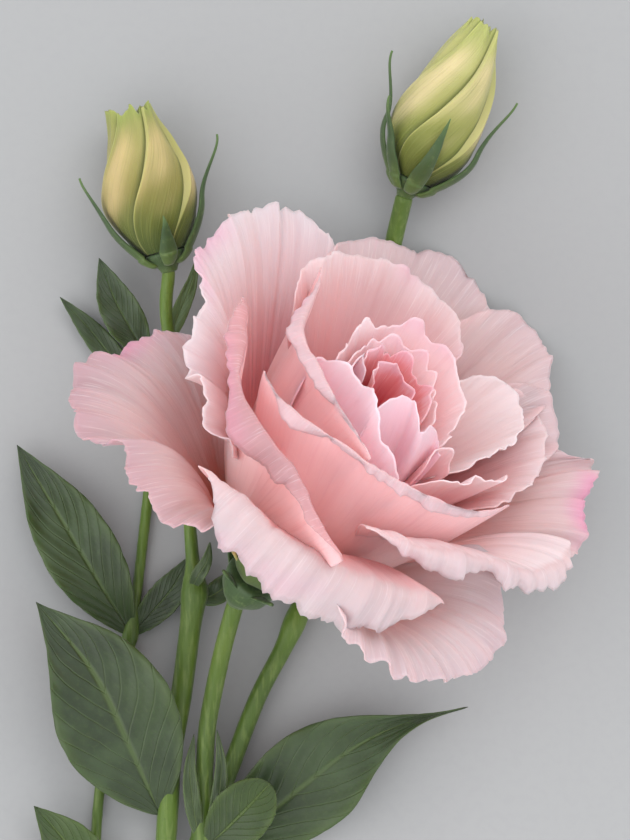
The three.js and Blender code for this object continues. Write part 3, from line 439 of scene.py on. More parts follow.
# Each petal: its rim as points of the picture with their height along the bloom's axis, its layer,
# where it leaves the receptacle as [radius, height], and how it leaves its root and arrives at its
# rim, each as [degrees from the axis, length]. A ruffle is the height of the waves along the rim. One
# that folds over arrives at its fold in this way, and each point of its rim then has its drop below
# the fold instead of a height. A turn is how many degrees the arrival turns from end to end.
PETALS = {
    "left": dict(layer="shaded", root=[3.4, 1.6], rise=[50, 18], lip=[112, 16], ruffle=1, rim=[
        [190, 324, 31], [150, 321, 27], [114, 344, 25], [78, 362, 24], [70, 400, 23], [82, 441, 24],
        [112, 446, 26], [128, 481, 27], [150, 519, 28], [182, 538, 30], [218, 554, 33],
    ]),
    "upper_left": dict(layer="throat", root=[3.2, 2], rise=[44, 18], lip=[88, 14], ruffle=1, rim=[
        [209, 458, 36], [196, 420, 36.5], [187, 378, 37], [188, 336, 38], [200, 285, 40],
        [192, 258, 40], [213, 228, 41], [246, 204, 41], [287, 199, 42], [326, 214, 44], [352, 236, 45],
    ]),
    "upper": dict(layer="back", root=[3.4, 1.6], rise=[38, 18], lip=[86, 12], ruffle=0.9, rim=[
        [316, 226, 44.5], [345, 230, 45], [380, 238, 45.5], [415, 248, 45.5], [446, 255, 45.3],
        [468, 270, 45.2], [492, 288, 45.3], [514, 308, 45],
    ]),
    "upper_right": dict(layer="back", root=[3.2, 1.8], rise=[40, 18], lip=[88, 12], ruffle=0.9, rim=[
        [478, 292, 45.5], [505, 306, 45.5], [532, 323, 45], [547, 350, 44.5], [552, 385, 43.5],
        [550, 412, 42.5], [545, 434, 41.5],
    ]),
    "right_inner": dict(layer="back", root=[3.2, 2], rise=[42, 18], lip=[86, 12], ruffle=0.9, rim=[
        [526, 368, 43.5], [547, 391, 43], [556, 420, 41.5], [562, 446, 40.5], [566, 470, 39.5],
    ]),
    "right": dict(layer="outer", root=[3.4, 1.6], rise=[48, 18], lip=[96, 13], ruffle=1, rim=[
        [552, 424, 40], [570, 450, 39], [595, 464, 38], [592, 490, 37], [584, 512, 36.5],
        [591, 532, 36], [584, 554, 35], [562, 582, 34],
    ]),
    "lower_right": dict(
        layer="open", root=[3.2, 2], rise=[40, 26], lip=[56, 14], turn=30, ruffle=0.9, rim=[
        [366, 532, 1], [382, 548, 1.5], [402, 562, 2], [433, 574, 2], [467, 575, 2], [490, 577, 2.5],
        [512, 590, 3], [536, 595, 3], [562, 582, 3], [582, 554, 2],
    ], fold=[
        [368, 526, 41.5], [388, 535, 41], [408, 542, 40.5], [434, 549, 40], [462, 554, 39],
        [486, 558, 38], [508, 566, 37], [530, 569, 36.5], [553, 560, 36.5], [572, 540, 37],
    ]),
    "lower": dict(layer="under", root=[3.4, 1.6], rise=[50, 16], lip=[108, 12], ruffle=1, rim=[
        [322, 604, 32], [338, 634, 30], [357, 652, 27], [388, 672, 25], [440, 683, 24],
        [478, 670, 24.5], [507, 643, 26], [510, 610, 29], [516, 580, 32], [512, 560, 33],
    ]),
    "lower_left": dict(
        layer="rolled", root=[3.2, 2.2], rise=[30, 30], lip=[46, 14], turn=22, ruffle=0.8, rim=[
        [193, 470, 1], [198, 494, 2], [206, 528, 3], [232, 566, 4], [262, 590, 4.5], [292, 612, 5],
        [318, 626, 5], [345, 635, 5], [372, 635, 5], [400, 632, 4.5], [424, 623, 3.5], [440, 611, 2],
    ], fold=[
        [199, 465, 39], [214, 475, 38.5], [236, 492, 38], [262, 514, 37.5], [290, 536, 37],
        [318, 553, 36.5], [345, 567, 36], [372, 578, 36], [394, 584, 36], [414, 589, 36],
        [431, 594, 35.5], [444, 603, 34.5],
    ]),
    "second_right": dict(layer="second", root=[3, 2.4], rise=[38, 18], lip=[74, 10], ruffle=0.9, rim=[
        [520, 366, 43.5], [538, 396, 42.5], [547, 428, 42], [545, 462, 41], [528, 494, 40.5],
        [498, 516, 40.5],
    ]),
    "second_left": dict(layer="turned", root=[2.8, 2.6], rise=[44, 26], lip=[22, 14], ruffle=0.5, rim=[
        [236, 297, 0.5], [222, 303, 1], [217, 318, 1], [222, 342, 1], [226, 362, 1], [228, 386, 1],
        [227, 410, 1.5], [231, 434, 2], [243, 453, 2.5], [262, 469, 3], [286, 486, 2.5],
        [296, 505, 1.5], [303, 532, 1], [320, 549, 1], [338, 560, 0.5],
    ], fold=[
        [242, 297, 46], [245, 306, 46], [246, 322, 46], [244, 345, 45.5], [240, 366, 45],
        [241, 386, 44.5], [247, 404, 44.5], [257, 421, 44.5], [271, 441, 44.5], [287, 462, 44],
        [300, 484, 43.5], [311, 505, 43], [322, 528, 42], [333, 547, 41], [342, 561, 40],
    ]),
    "second_back": dict(layer="second", root=[2.6, 2.8], rise=[28, 18], lip=[58, 12], ruffle=0.9, rim=[
        [277, 292, 46], [284, 275, 47.5], [302, 261, 48.5], [339, 250, 48.5], [370, 251, 48.5],
        [402, 265, 48.5], [431, 284, 48], [452, 302, 47.5], [463, 322, 47], [470, 350, 46.5],
        [462, 376, 46],
    ]),
    "third_right": dict(layer="pale", root=[2.6, 2.8], rise=[26, 16], lip=[56, 9], ruffle=0.7, rim=[
        [470, 366, 46], [492, 369, 45.5], [510, 381, 45], [521, 398, 44.5], [527, 416, 44],
        [520, 434, 44], [505, 448, 44], [488, 460, 44], [464, 476, 44],
    ]),
    "third_lower": dict(layer="folded", root=[2.4, 3], rise=[52, 24], lip=[16, 16], ruffle=0.4, rim=[
        [261, 374, 0.5], [265, 394, 0.5], [273, 413, 0.5], [286, 426, 0.6], [302, 433, 0.8],
        [318, 438, 0.8], [331, 442, 0.5], [345, 453, 0.3], [364, 469, 0.3], [386, 483, 0.5],
        [410, 499, 0.8], [436, 513, 1], [464, 522, 1], [488, 521, 1], [508, 511, 0.5],
    ], fold=[
        [264, 371, 46.5], [273, 387, 47], [284, 402, 47.5], [296, 414, 48], [311, 425, 48],
        [325, 434, 48], [337, 441, 48], [350, 450, 48], [368, 464, 48], [390, 477, 47.5],
        [414, 489, 47], [440, 501, 46], [466, 509, 45.5], [489, 511, 45], [509, 505, 44.5],
    ]),
    "third_left": dict(layer="folded", root=[2.2, 3.2], rise=[50, 24], lip=[18, 12], ruffle=0.35, rim=[
        [318, 270, 0.5], [312, 285, 0.6], [303, 301, 1], [292, 317, 1.2], [287, 333, 1.2],
        [294, 350, 1], [303, 364, 0.8], [315, 386, 0.6], [330, 406, 0.5], [346, 428, 0.4],
        [368, 458, 0.3],
    ], fold=[
        [322, 268, 49], [319, 285, 49], [312, 302, 49.5], [304, 319, 49.5], [303, 334, 50],
        [309, 350, 50], [317, 363, 50.5], [327, 383, 50.5], [339, 403, 50.5], [353, 426, 50],
        [371, 458, 49],
    ]),
    "fourth_back": dict(layer="inner", root=[2, 3.4], rise=[14, 20], lip=[34, 9], ruffle=0.6, rim=[
        [330, 356, 50], [348, 331, 50.5], [370, 320, 50.5], [396, 318, 50.5], [424, 325, 50],
        [447, 343, 49.5], [464, 372, 49], [469, 404, 48.5], [466, 432, 48], [448, 444, 47.5],
    ]),
    "fourth_right": dict(layer="inner", root=[2, 3.4], rise=[22, 22], lip=[8, 8], ruffle=0.3, rim=[
        [430, 470, 45], [437, 452, 46.5], [449, 441, 47.5], [460, 446, 47], [464, 462, 46],
    ]),
    "fifth_right": dict(layer="inner", root=[2.2, 3.2], rise=[34, 20], lip=[30, 7], ruffle=0.5, rim=[
        [418, 480, 46.5], [444, 481, 46.5], [470, 478, 46], [492, 481, 45.5], [508, 480, 45],
        [523, 467, 44.5],
    ]),
    "tooth": dict(layer="front", root=[1.4, 4], rise=[10, 22], lip=[-6, 8], ruffle=0.2, rim=[
        [350, 378, 49.5], [357, 362, 50.8], [365, 350, 51.5], [370, 363, 50.8], [371, 380, 49.5],
    ]),
    "fifth_back": dict(layer="inner", root=[1.8, 3.6], rise=[12, 20], lip=[26, 8], ruffle=0.5, rim=[
        [338, 366, 50], [352, 346, 50.5], [372, 336, 50.5], [400, 337, 50], [424, 350, 49.5],
        [440, 376, 49], [445, 404, 48.5], [438, 428, 48],
    ]),
    "front": dict(layer="front", root=[1.8, 3.6], rise=[32, 22], lip=[-18, 9], ruffle=0.3, rim=[
        [318, 362, 50.5], [329, 348, 51], [344, 362, 51.5], [358, 373, 51.5], [370, 384, 52],
        [375, 402, 52], [380, 416, 51.5], [394, 444, 50], [406, 464, 48.8], [414, 478, 48],
    ]),
    "sixth_back": dict(layer="heart", root=[1.4, 4], rise=[8, 20], lip=[18, 7], ruffle=0.4, rim=[
        [352, 366, 50], [366, 352, 50.5], [388, 346, 50.5], [408, 354, 50], [424, 374, 49.5],
        [431, 400, 49], [428, 424, 48.5],
    ]),
    "heart_front": dict(layer="front", root=[1, 4.2], rise=[28, 26], lip=[-30, 6], ruffle=0.3, rim=[
        [372, 410, 51.5], [384, 400, 52.5], [404, 392, 53], [414, 399, 52.5], [423, 428, 51],
        [440, 421, 50], [450, 432, 49],
    ]),
    "heart_back": dict(layer="heart", root=[0.8, 4.4], rise=[4, 20], lip=[12, 6], ruffle=0.3, rim=[
        [368, 392, 49.5], [378, 372, 50], [392, 364, 50], [405, 372, 49.5], [413, 388, 49],
        [416, 404, 48.5],
    ]),
}

# Each layer of petals: the height of its fine frills and how near the rim they keep, the height of
# its pleats, how far its rim is notched and how high its pointed tips stand, in millimetres; then how
# unevenly its colours run, its veins, how much its rim blushes, and its colours from claw to rim.
# In several layers these colours are partly painted light and shade: rims are darkened where light
# falls on them, bodies are lightened where they lie in shade, and some layers are darker or lighter
# copies of one petal colour for petals that lie in shade or in light.
LAYERS = {
    "outer": dict(frill=1.1, hem=5, pleat=0.32, vein=(212, 154, 160), blush_share=0.7, stops=[
        (0, OLIVE), (0.1, (200, 172, 124)), (0.24, (216, 146, 142)), (0.48, (216, 158, 159)),
        (0.78, (204, 164, 165)), (1, (196, 158, 163)),
    ]),
    "back": dict(frill=0.22, hem=5, pleat=0.3, notch=0.6, vein=(208, 148, 156), blush_share=0.8, stops=[
        (0, OLIVE), (0.1, (200, 172, 124)), (0.24, (214, 146, 142)), (0.48, (212, 156, 156)),
        (0.78, (200, 160, 160)), (1, (202, 164, 168)),
    ]),
    # Painted shade: a darker copy of the petal colours for the left petal, which leans away from the
    # light.
    "shaded": dict(frill=1, hem=5, pleat=0.3, vein=(186, 138, 145), blush_share=0.6, stops=[
        (0, OLIVE), (0.14, (152, 124, 72)), (0.28, (190, 124, 112)), (0.5, (196, 162, 163)),
        (0.78, (186, 156, 159)), (1, (172, 132, 141)),
    ]),
    # Painted shade: a lighter version of the same darker copy, for the lower petal.
    "under": dict(frill=1, hem=5, pleat=0.3, vein=(198, 152, 160), blush_share=0.6, stops=[
        (0, OLIVE), (0.14, (152, 124, 72)), (0.28, (190, 124, 112)), (0.5, (202, 170, 172)),
        (0.78, (202, 178, 182)), (1, (190, 158, 164)),
    ]),
    "throat": dict(frill=1, hem=5, pleat=0.4, vein=(212, 154, 162), blush_share=0.5, stops=[
        (0, OLIVE), (0.12, (176, 144, 88)), (0.28, (210, 116, 114)), (0.5, (218, 136, 142)),
        (0.7, (214, 168, 172)), (1, (216, 190, 194)),
    ]),
    "second": dict(frill=0.9, hem=6, pleat=0.22, vein=(214, 152, 160), blush_share=0.45, stops=[
        (0, OLIVE), (0.12, (222, 158, 126)), (0.28, (228, 136, 136)), (0.55, (216, 146, 148)),
        (0.85, (206, 158, 160)), (1, (216, 184, 186)),
    ]),
    "pale": dict(frill=0.8, hem=7, pleat=0.2, notch=0.8, vein=(224, 168, 174), blush_share=0.4, stops=[
        (0, OLIVE), (0.12, (226, 160, 130)), (0.28, (232, 146, 146)), (0.5, (228, 174, 175)),
        (0.8, (226, 190, 190)), (1, (222, 196, 198)),
    ]),
    # Painted shade: the middle stops are darkened for the shaded hollow between this petal and the
    # second left petal that turns over it.
    "rolled": dict(
        frill=0.9, hem=8, pleat=0.22, jitter=0.5, vein=(206, 152, 160), blush_share=0.35, stops=[
        (0, OLIVE), (0.2, (204, 140, 110)), (0.42, (212, 138, 134)), (0.7, (214, 146, 147)),
        (0.79, (212, 156, 158)), (0.83, (201, 163, 164)), (1, (212, 185, 189)),
    ]),
    "open": dict(
        frill=0.9, hem=8, pleat=0.24, jitter=0.7, vein=(214, 166, 172), blush_share=0.5, stops=[
        (0, OLIVE), (0.2, (216, 160, 130)), (0.38, (226, 164, 160)), (0.6, (226, 186, 188)),
        (0.79, (222, 192, 194)), (0.83, (206, 168, 170)), (1, (218, 190, 194)),
    ]),
    # Painted light: the middle stops are lightened so that the outer faces down in the bloom's hollows,
    # where shade falls, stay pale.
    "folded": dict(
        frill=0.55, hem=9, pleat=0.1, notch=0.6, jitter=0.3, vein=(236, 166, 174),
        blush_share=0.5, stops=[
        (0, OLIVE), (0.16, (226, 158, 128)), (0.36, (246, 178, 174)), (0.62, (248, 190, 191)),
        (0.79, (240, 180, 184)), (0.82, (206, 158, 161)), (1, (214, 178, 184)),
    ]),
    # Painted light and shade: the inner side is lightened where it lies in shade, and the lip beyond
    # the fold is darkened where the window lamp's light falls on it.
    "turned": dict(
        frill=0.55, hem=9, pleat=0.1, notch=0.6, jitter=0.3, vein=(222, 150, 156),
        blush_share=0.35, stops=[
        (0, OLIVE), (0.16, (232, 164, 134)), (0.36, (252, 190, 188)), (0.62, (252, 200, 201)),
        (0.79, (240, 176, 180)), (0.82, (182, 128, 132)), (1, (188, 142, 147)),
    ]),
    "inner": dict(
        frill=0.45, hem=6, pleat=0.14, notch=0.8, tips=2.2, vein=(232, 154, 162),
        blush_share=0.35, stops=[
        (0, (190, 76, 80)), (0.3, (226, 112, 116)), (0.56, (240, 158, 163)), (0.85, (240, 186, 190)),
        (1, (238, 202, 206)),
    ]),
    "front": dict(
        frill=0.3, hem=7, pleat=0.12, tips=1.5, vein=(244, 172, 186), blush_share=0.4,
        blush=(226, 156, 192), stops=[
        (0, (220, 106, 104)), (0.3, (246, 160, 166)), (0.55, (252, 192, 202)), (0.85, (244, 188, 200)),
        (1, (240, 198, 208)),
    ]),
    # Partly painted shade: the deep red at the heart petals' base is their own deeper colour, darkened
    # further for the shadow in the bloom's eye.
    "heart": dict(
        frill=0.5, hem=5, pleat=0.14, notch=0.8, tips=3.2, vein=(222, 126, 136),
        blush_share=0.3, stops=[
        (0, (116, 6, 14)), (0.5, (158, 26, 38)), (0.74, (200, 74, 84)), (0.9, (226, 128, 134)),
        (1, (236, 180, 186)),
    ]),
}

# How far a rim is notched where its layer doesn't say.
NOTCH_DEPTH = 0.9
CLAW_SHARE = 0.3
CORNER_ROUNDING = 0.18
RUFFLE_LENGTH = 14
LONG_WAVE = 0.7
SHORT_WAVE = 0.35
SHORT_WAVE_RATE = 2.3
PHASE_STEP = 2.4
FOLD_AT = 0.8
FOLD_CROWN = 0.35
FOLD_DROOP = 0.45
PETAL_ROWS = 50
PETAL_COLUMN = 0.55
PETAL_SPAN = 40.0
PETAL_SEED = 700
# Waves along a rim as (length in millimetres, row of the noise, share).
NOTCHES = [(1.3, 3, 0.5), (0.6, 4, 0.3), (3.4, 5, 0.6)]
FRILLS = [(2.3, 1, 1), (1.1, 2, 0.6)]
TIP_LENGTH, TIP_ROW = 3.6, 6
SWELL_LENGTH, SWELL_ROW = 7, 7
# A tip lengthens its petal by no more than the first share, and a notch shortens it by the second.
NOTCH_LIMITS = (-0.03, 0.13)


def petal_lines(shape):
    """The line where the petal ends its first sweep, and the rim of the lip that it folds out."""
    if "fold" not in shape:
        return Curve([seen_in_bloom(spot) for spot in shape["rim"]]), None
    crest = [seen_in_bloom(spot) for spot in shape["fold"]]
    edge = [place([a, d, c[2]-hang]) for (a, d, hang), c in zip(shape["rim"], crest)]
    return Curve(crest), Curve(edge)


def bezier(p0, p1, p2, p3, t):
    return (1-t)**3*p0+3*(1-t)**2*t*p1+3*(1-t)*t*t*p2+t**3*p3


def petal_sweep(shape, crest, rim, share, s):
    """Points of the petal at each share s from its claw to its rim."""
    end = crest.at(share)
    middle = azimuth_of(crest.at(0.5))
    azimuth = azimuth_of(end)
    azimuth = azimuth-360*np.round((azimuth-middle)/360)
    rooted = middle+(azimuth-middle)*CLAW_SHARE
    start = in_bloom(rooted, *shape["root"])
    arrival = slanted(azimuth, shape["lip"], shape.get("turn", 0)*share)
    t = s[..., None]
    first = np.clip(t/FOLD_AT, 0, 1) if rim else t
    body = bezier(start, start+slanted(rooted, shape["rise"]), end-arrival, end, first)
    if not rim:
        return body
    edge = rim.at(share)
    width = np.linalg.norm(edge-end, axis=-1, keepdims=True)
    crown = end+unit(arrival)*width*FOLD_CROWN
    droop = edge+(crown-edge)*FOLD_DROOP+UP*width*FOLD_CROWN
    lip = bezier(end, crown, droop, edge, np.clip((t-FOLD_AT)/(1-FOLD_AT), 0, 1))
    return np.where(t > FOLD_AT, lip, body)


def petal_parts(shape, order):
    """One petal: its sweep, its waves and frills along the rim, and pleats and dents within."""
    layer = LAYERS[shape["layer"]]
    crest, rim = petal_lines(shape)
    length = (rim or crest).length
    u, v = lattice(PETAL_ROWS, max(24, round(length/PETAL_COLUMN)))
    reach = length*v/2
    ripple = Ripple(PETAL_SEED+order)
    tips = np.abs(ripple.line(reach/TIP_LENGTH, TIP_ROW))*2-1
    notch = layer.get("notch", NOTCH_DEPTH)*(ripple.waves(reach, NOTCHES)+0.5)
    short = (notch-layer.get("tips", 0)*tips)/PETAL_SPAN
    s = u*(1-CORNER_ROUNDING*v**4-np.clip(short, *NOTCH_LIMITS)*u**6)
    grid = petal_sweep(shape, crest, rim, (v[0]+1)/2, s)
    turns = np.pi*length/RUFFLE_LENGTH*v
    long_wave = LONG_WAVE*np.sin(turns+order*PHASE_STEP)
    wave = shape["ruffle"]*s**4*(long_wave+SHORT_WAVE*np.sin(SHORT_WAVE_RATE*turns))
    swell = 1+0.8*ripple.line(reach/SWELL_LENGTH, SWELL_ROW)
    frill = ripple.waves(reach, FRILLS)*layer["frill"]*s**layer["hem"]*swell
    pleat = ripple.grid(reach/1.5+40, s*2.2)+0.5*ripple.grid(reach/0.8+10, s*4+5)
    pleat = pleat*layer["pleat"]*smooth(0.2, 1, s)
    dent = 0.5*smooth(0.1, 0.5, s)*ripple.grid(reach/9+20, s*2.6)*(1-0.5*s)
    grid = grid+normals_of(grid)*(frill+pleat+dent-wave)[..., None]
    across = np.broadcast_to((reach+100*order)/UV_STEP, s.shape)
    return blade_parts(grid, 0.5-0.3*smooth(0.3, 1, s), across, s)


CORE_PROFILE = [(0.1, 0.3), (3.6, 0.5), (5.6, 3), (7.2, 9), (6.2, 15), (2.5, 18.6), (0.1, 19.2)]
CORE_LAYER = dict(vein=(110, 110, 60), blush_share=0.0, glow=0.3, stops=[
    (0, (58, 76, 36)), (0.42, (82, 98, 46)), (0.6, (190, 116, 92)), (1, (176, 44, 56)),
])


def add_bloom():
    paints = {name: petal_paint("petal_"+name, layer) for name, layer in LAYERS.items()}
    for order, (name, shape) in enumerate(PETALS.items()):
        parts = petal_parts(shape, order)
        add_mesh("bloom_petal_"+name, *parts, paints[shape["layer"]], "petals", "bloom_petals")
    core = turned(CORE_PROFILE, 48, *BLOOM_FRAME, wobble=0.05, seed=1)
    core_paint = petal_paint("bloom_core", CORE_LAYER)
    add_mesh("bloom_receptacle", *core, core_paint, "petals", "bloom_petals")


def sepal_paint():
    """Green growth with long fibres, soft blotches and a faint waxy sheen."""
    paint = Paint("sepal_green", 0.5, 0.4)
    fibre = paint.fibres(70.0, 3.0, 3.0)
    spots = paint.clouds(900.0, 3.0)
    value = paint.plus(paint.along, paint.centred(paint.clouds(70.0, 2.0), 0.4))
    base = paint.ramp(
        value, [(0, (84, 106, 46)), (0.3, (54, 76, 34)), (0.7, (48, 72, 34)), (1, (76, 100, 50))]
    )
    base = paint.blend(paint.fit(fibre, 0.5, 0.75, 0.0, 0.55), base, (74, 98, 48))
    base = paint.blend(paint.fit(spots, 0.55, 0.8, 0.0, 0.3), base, (132, 150, 92))
    paint.relief(paint.plus(paint.times(fibre, 0.7), paint.times(spots, 0.3)), 0.25, 0.6)
    return paint.finish(base, 0.08, GREEN_REACH, 1.5, 0.15)


CALYX_PROFILE = [
    (0.1, -CALYX_DEPTH), (1.8, -CALYX_DEPTH), (2.5, -6.6), (3.7, -5.2), (4.6, -3.4), (5.1, -1.6),
    (5.0, -0.3), (4.4, 0.1), (0.1, 0.15),
]
SEPAL_AZIMUTHS = [20, 92, 164, 236, 308]
SEPAL_LENGTH = 5
SEPAL_BEND = 4.6


def bloom_sepal(azimuth):
    """A short pointed blade that leaves the calyx and stands up beside the petals."""
    u, v = lattice(30, 12)
    half = 2.1*(1-u)**0.7*(1-0.15*u)+0.05
    radius = CALYX_RADIUS-1.4+SEPAL_LENGTH*u
    height = -2+SEPAL_BEND*u-0.5*u*u+0.4*(1-v*v)
    grid = in_bloom(azimuth+np.degrees(half*v/radius), radius+0*v, height)
    return blade_parts(grid, 0.55-0.35*v*v+0*u, v*half/UV_STEP, u+0*v)


def add_bloom_calyx(sepal_green):
    cup = turned(CALYX_PROFILE, 48, *BLOOM_FRAME, wobble=0.06, seed=2)
    parts = merged([cup]+[bloom_sepal(azimuth) for azimuth in SEPAL_AZIMUTHS])
    add_mesh("bloom_calyx_sepals", *parts, sepal_green, "sepals", "bloom_calyx")


# A furled bud on its own axis. Its sepals are given as azimuth, length along the axis and how far
# the tip stands off the axis. Azimuth 90 points up.
BUDS = {
    "left_bud": dict(
        base=[165, 253, 7.8], tip=[130, 112, 8.6], radius=8, widest=0.38, mouth=0.48, taper=1.5,
        turns=0.26, sepals=[
        [165, 16.2, 11.7], [15, 17.9, 14.4], [80, 6.2, 8.5], [-42, 12, 9.4], [224, 12, 9.3],
    ]),
    "right_bud": dict(
        base=[412, 180, 6.4], tip=[484, 27, 9.5], radius=7.7, widest=0.28, mouth=0.36, taper=1,
        turns=0.3, sepals=[
        [172, 19.1, 12.9], [142, 11.9, 12.4], [14, 20.1, 11.3], [80, 12.8, 9], [-38, 12, 9],
    ]),
}
BUD_SEED, CUP_SEED = 40, 5
BUD_PETALS = 5
FURL_STEP = 0.09
BUD_CUP_DEPTH = 3.4
BUD_CUP_PROFILE = [
    (0.1, -BUD_CUP_DEPTH), (1.3, -BUD_CUP_DEPTH), (1.6, -2.8), (2.2, -2.0), (3.0, -1.1),
    (3.5, -0.2), (3.3, 0.1), (0.1, 0.15),
]
BUD_ROWS = 110
BUD_SIDES = 260
BUD_FRAY = 1.3
# Rings that close the mouth, as their depth below its rim and their share of its radius.
MOUTH_DEPTHS = np.array([0.5, 1.5, 3.0, 4.5])[:, None]
MOUTH_SHARES = np.array([0.86, 0.66, 0.4, 0.05])[:, None]
MOUTH_TONE = 0.97
SEPAL_ROOT = 2.0
SEPAL_START = -1.9
SEPAL_ELBOW = -0.4
ELBOW_SHARE = 1/7
SEPAL_ROOM = 0.45

# Each bud's colours from base to tip, and a cream that is partly its own colour and partly painted
# highlight on the ridges of its petals.
BUD_COLOURS = {
    "left_bud": dict(skin="bud_left_skin", cream_and_highlight=(196, 172, 124), cream_and_highlight_share=0.7, stops=[
        (0, (60, 76, 24)), (0.2, (88, 96, 34)), (0.42, (122, 116, 56)), (0.72, (148, 140, 82)),
        (0.88, (142, 140, 80)), (1, (134, 142, 76)),
    ]),
    "right_bud": dict(skin="bud_right_skin", cream_and_highlight=(206, 188, 146), cream_and_highlight_share=0.75, stops=[
        (0, (66, 78, 22)), (0.2, (102, 110, 42)), (0.4, (140, 142, 76)), (0.75, (164, 162, 102)),
        (0.9, (160, 162, 98)), (1, (152, 158, 92)),
    ]),
}


class Bud:
    """A bud's axis and its two sides, with its radius at each share of its length."""

    def __init__(self, shape):
        self.shape = shape
        self.base, tip = place(shape["base"]), place(shape["tip"])
        self.length = np.linalg.norm(tip-self.base)
        self.axis = (tip-self.base)/self.length
        self.side = unit(np.cross(self.axis, UP))
        self.up = np.cross(self.side, self.axis)
        self.frame = (self.base, self.axis, self.side, self.up)

    def at(self, azimuth, radius, height):
        radius, height = np.asarray(radius)[..., None], np.asarray(height)[..., None]
        turn = np.asarray(azimuth)[..., None]
        arm = self.side*radius*np.cos(turn)+self.up*radius*np.sin(turn)
        return self.base+arm+self.axis*height

    def radius(self, u):
        quarter, widest, mouth = math.pi/2, self.shape["widest"], self.shape["mouth"]
        opening = np.sin(quarter*(0.3+0.7*np.minimum(u, widest)/widest))
        closing = np.cos(quarter*np.maximum(u-widest, 0)/(1-widest))**self.shape["taper"]
        return self.shape["radius"]*np.where(u < widest, opening, mouth+(1-mouth)*closing)


def bud_paint(tones):
    """Furled petals: green at the base and the tips, cream between, brighter towards each petal's
    ridge as painted highlight, with a dark green line of painted shade at each seam.
    """
    paint = Paint(tones["skin"], 0.5, 0.3)
    along = paint.along
    turn = paint.math("FRACT", paint.across)
    fibre = paint.fibres(22.0, 2.0, 4.0)
    broad = paint.centred(paint.clouds(120.0, 2.0), 0.2)
    shift = paint.plus(paint.centred(fibre, 0.16), broad)
    base = paint.ramp(paint.plus(along, shift), tones["stops"])
    # Cream patches towards each petal's ridge: partly the bud's own cream, partly painted highlight
    # where the ridges catch the light.
    cream_and_highlight_patches = paint.times(paint.fit(paint.fibres(1.3, 1.6, 1.0), 0.36, 0.62), paint.fit(turn, 0.1, 0.6))
    middle = paint.times(paint.fit(along, 0.15, 0.45), paint.fit(along, 0.95, 0.7))
    cream_and_highlight = paint.times(paint.times(cream_and_highlight_patches, middle), tones["cream_and_highlight_share"])
    base = paint.blend(cream_and_highlight, base, tones["cream_and_highlight"])
    streak = paint.times(paint.fit(fibre, 0.5, 0.7), paint.fit(along, 0.1, 0.6, 0.5, 0.25))
    base = paint.blend(streak, base, (110, 118, 54))
    base = paint.blend(paint.fit(turn, 0.93, 1.0, 0.0, 0.55), base, (172, 170, 106))
    # Painted shade: a dark green line just outside each overlapping edge, where the petal over it
    # shades it.
    base = paint.blend(paint.fit(turn, 0.16, 0.0, 0.0, 0.75), base, (70, 80, 30))
    paint.relief(fibre, 0.3, 0.7)
    return paint.finish(base, 0.3, (0.8, 1.0, 0.4), 2.5, 0.1)


def furled_parts(bud, ripple):
    """Petals wound round the bud as shallow steps, which fray at its mouth, and the mouth's inside."""
    u = lattice(BUD_ROWS, 1)[0]
    azimuth = (2*np.pi*np.arange(BUD_SIDES)/BUD_SIDES)[None, :]
    turn = BUD_PETALS*azimuth/(2*np.pi)+0*u
    azimuth = azimuth-2*np.pi*bud.shape["turns"]*u
    furl = (turn-np.floor(turn)-0.5)*FURL_STEP*2*smooth(0.05, 0.4, u)
    frill = 0.9*np.abs(np.sin(2.5*azimuth+ripple.line(azimuth*1.2, 1)))
    frill = frill+0.8*ripple.line(azimuth*4.2, 2)
    fray = BUD_FRAY*smooth(0.86, 1, u)*(frill-0.5)
    height = CLEARANCE+u*(bud.length-CLEARANCE)+fray
    flute = 0.05*smooth(0.55, 1, u)*np.sin(9*azimuth+3*u)+0.02*ripple.grid(azimuth*3, u*5)
    radius = bud.radius(u)*(1+furl+flute)
    outer = bud.at(azimuth, radius, height)
    mouth = azimuth[-1:]
    depth = height[-1]-MOUTH_DEPTHS+0.8*ripple.grid(mouth*5, MOUTH_DEPTHS)
    inner = bud.at(mouth+0.5*(1-MOUTH_SHARES), radius[-1]*MOUTH_SHARES, depth)
    start = bud.at(azimuth[:1], 0.05+0*mouth, CLEARANCE+0*mouth)
    grid = np.concatenate([start, outer, inner])
    along = np.concatenate([np.zeros((1, 1)), u, np.full((4, 1), MOUTH_TONE)])+0*mouth
    across = np.concatenate([turn[:1], turn, np.repeat(turn[-1:], 4, axis=0)])
    faces = [face[:1]+face[:0:-1] for face in ring_faces(len(grid), BUD_SIDES)]
    return grid.reshape(-1, 3), faces, across, along


def bud_sepal(bud, degrees, reach, stand_off, ripple):
    """A sepal that leaves the cup's side, turns up, hugs the bud and stands off at its tip."""
    u, v = lattice(48, 12)
    rooted = u < ELBOW_SHARE
    climb = np.maximum(0, (u-ELBOW_SHARE)/(1-ELBOW_SHARE))
    rise = SEPAL_START+(SEPAL_ELBOW-SEPAL_START)*u/ELBOW_SHARE
    height = np.where(rooted, rise, SEPAL_ELBOW+(reach-SEPAL_ELBOW)*climb)
    hug = bud.radius(np.clip(height/bud.length, 0, 1))*(1+FURL_STEP)+SEPAL_ROOM
    flare = np.maximum(0, stand_off-hug)*smooth(0.45, 1, climb)
    spread = SEPAL_ROOT+(hug-SEPAL_ROOT)*(u/ELBOW_SHARE)**0.7
    radius = np.where(rooted, spread, hug+flare)
    half = (0.1+2.5*(1-u)**1.1*smooth(-0.3, 0.3, u))*(1+0.05*ripple.line(u*9, 9))
    keel = 0.25*(1-v*v)*(1-u)
    grid = bud.at(math.radians(degrees)+half*v/(radius+1), radius+keel, height+0*v)
    return blade_parts(grid, (1.0-0.6*u)*(1-0.6*v*v), v*half/UV_STEP, u+0*v)


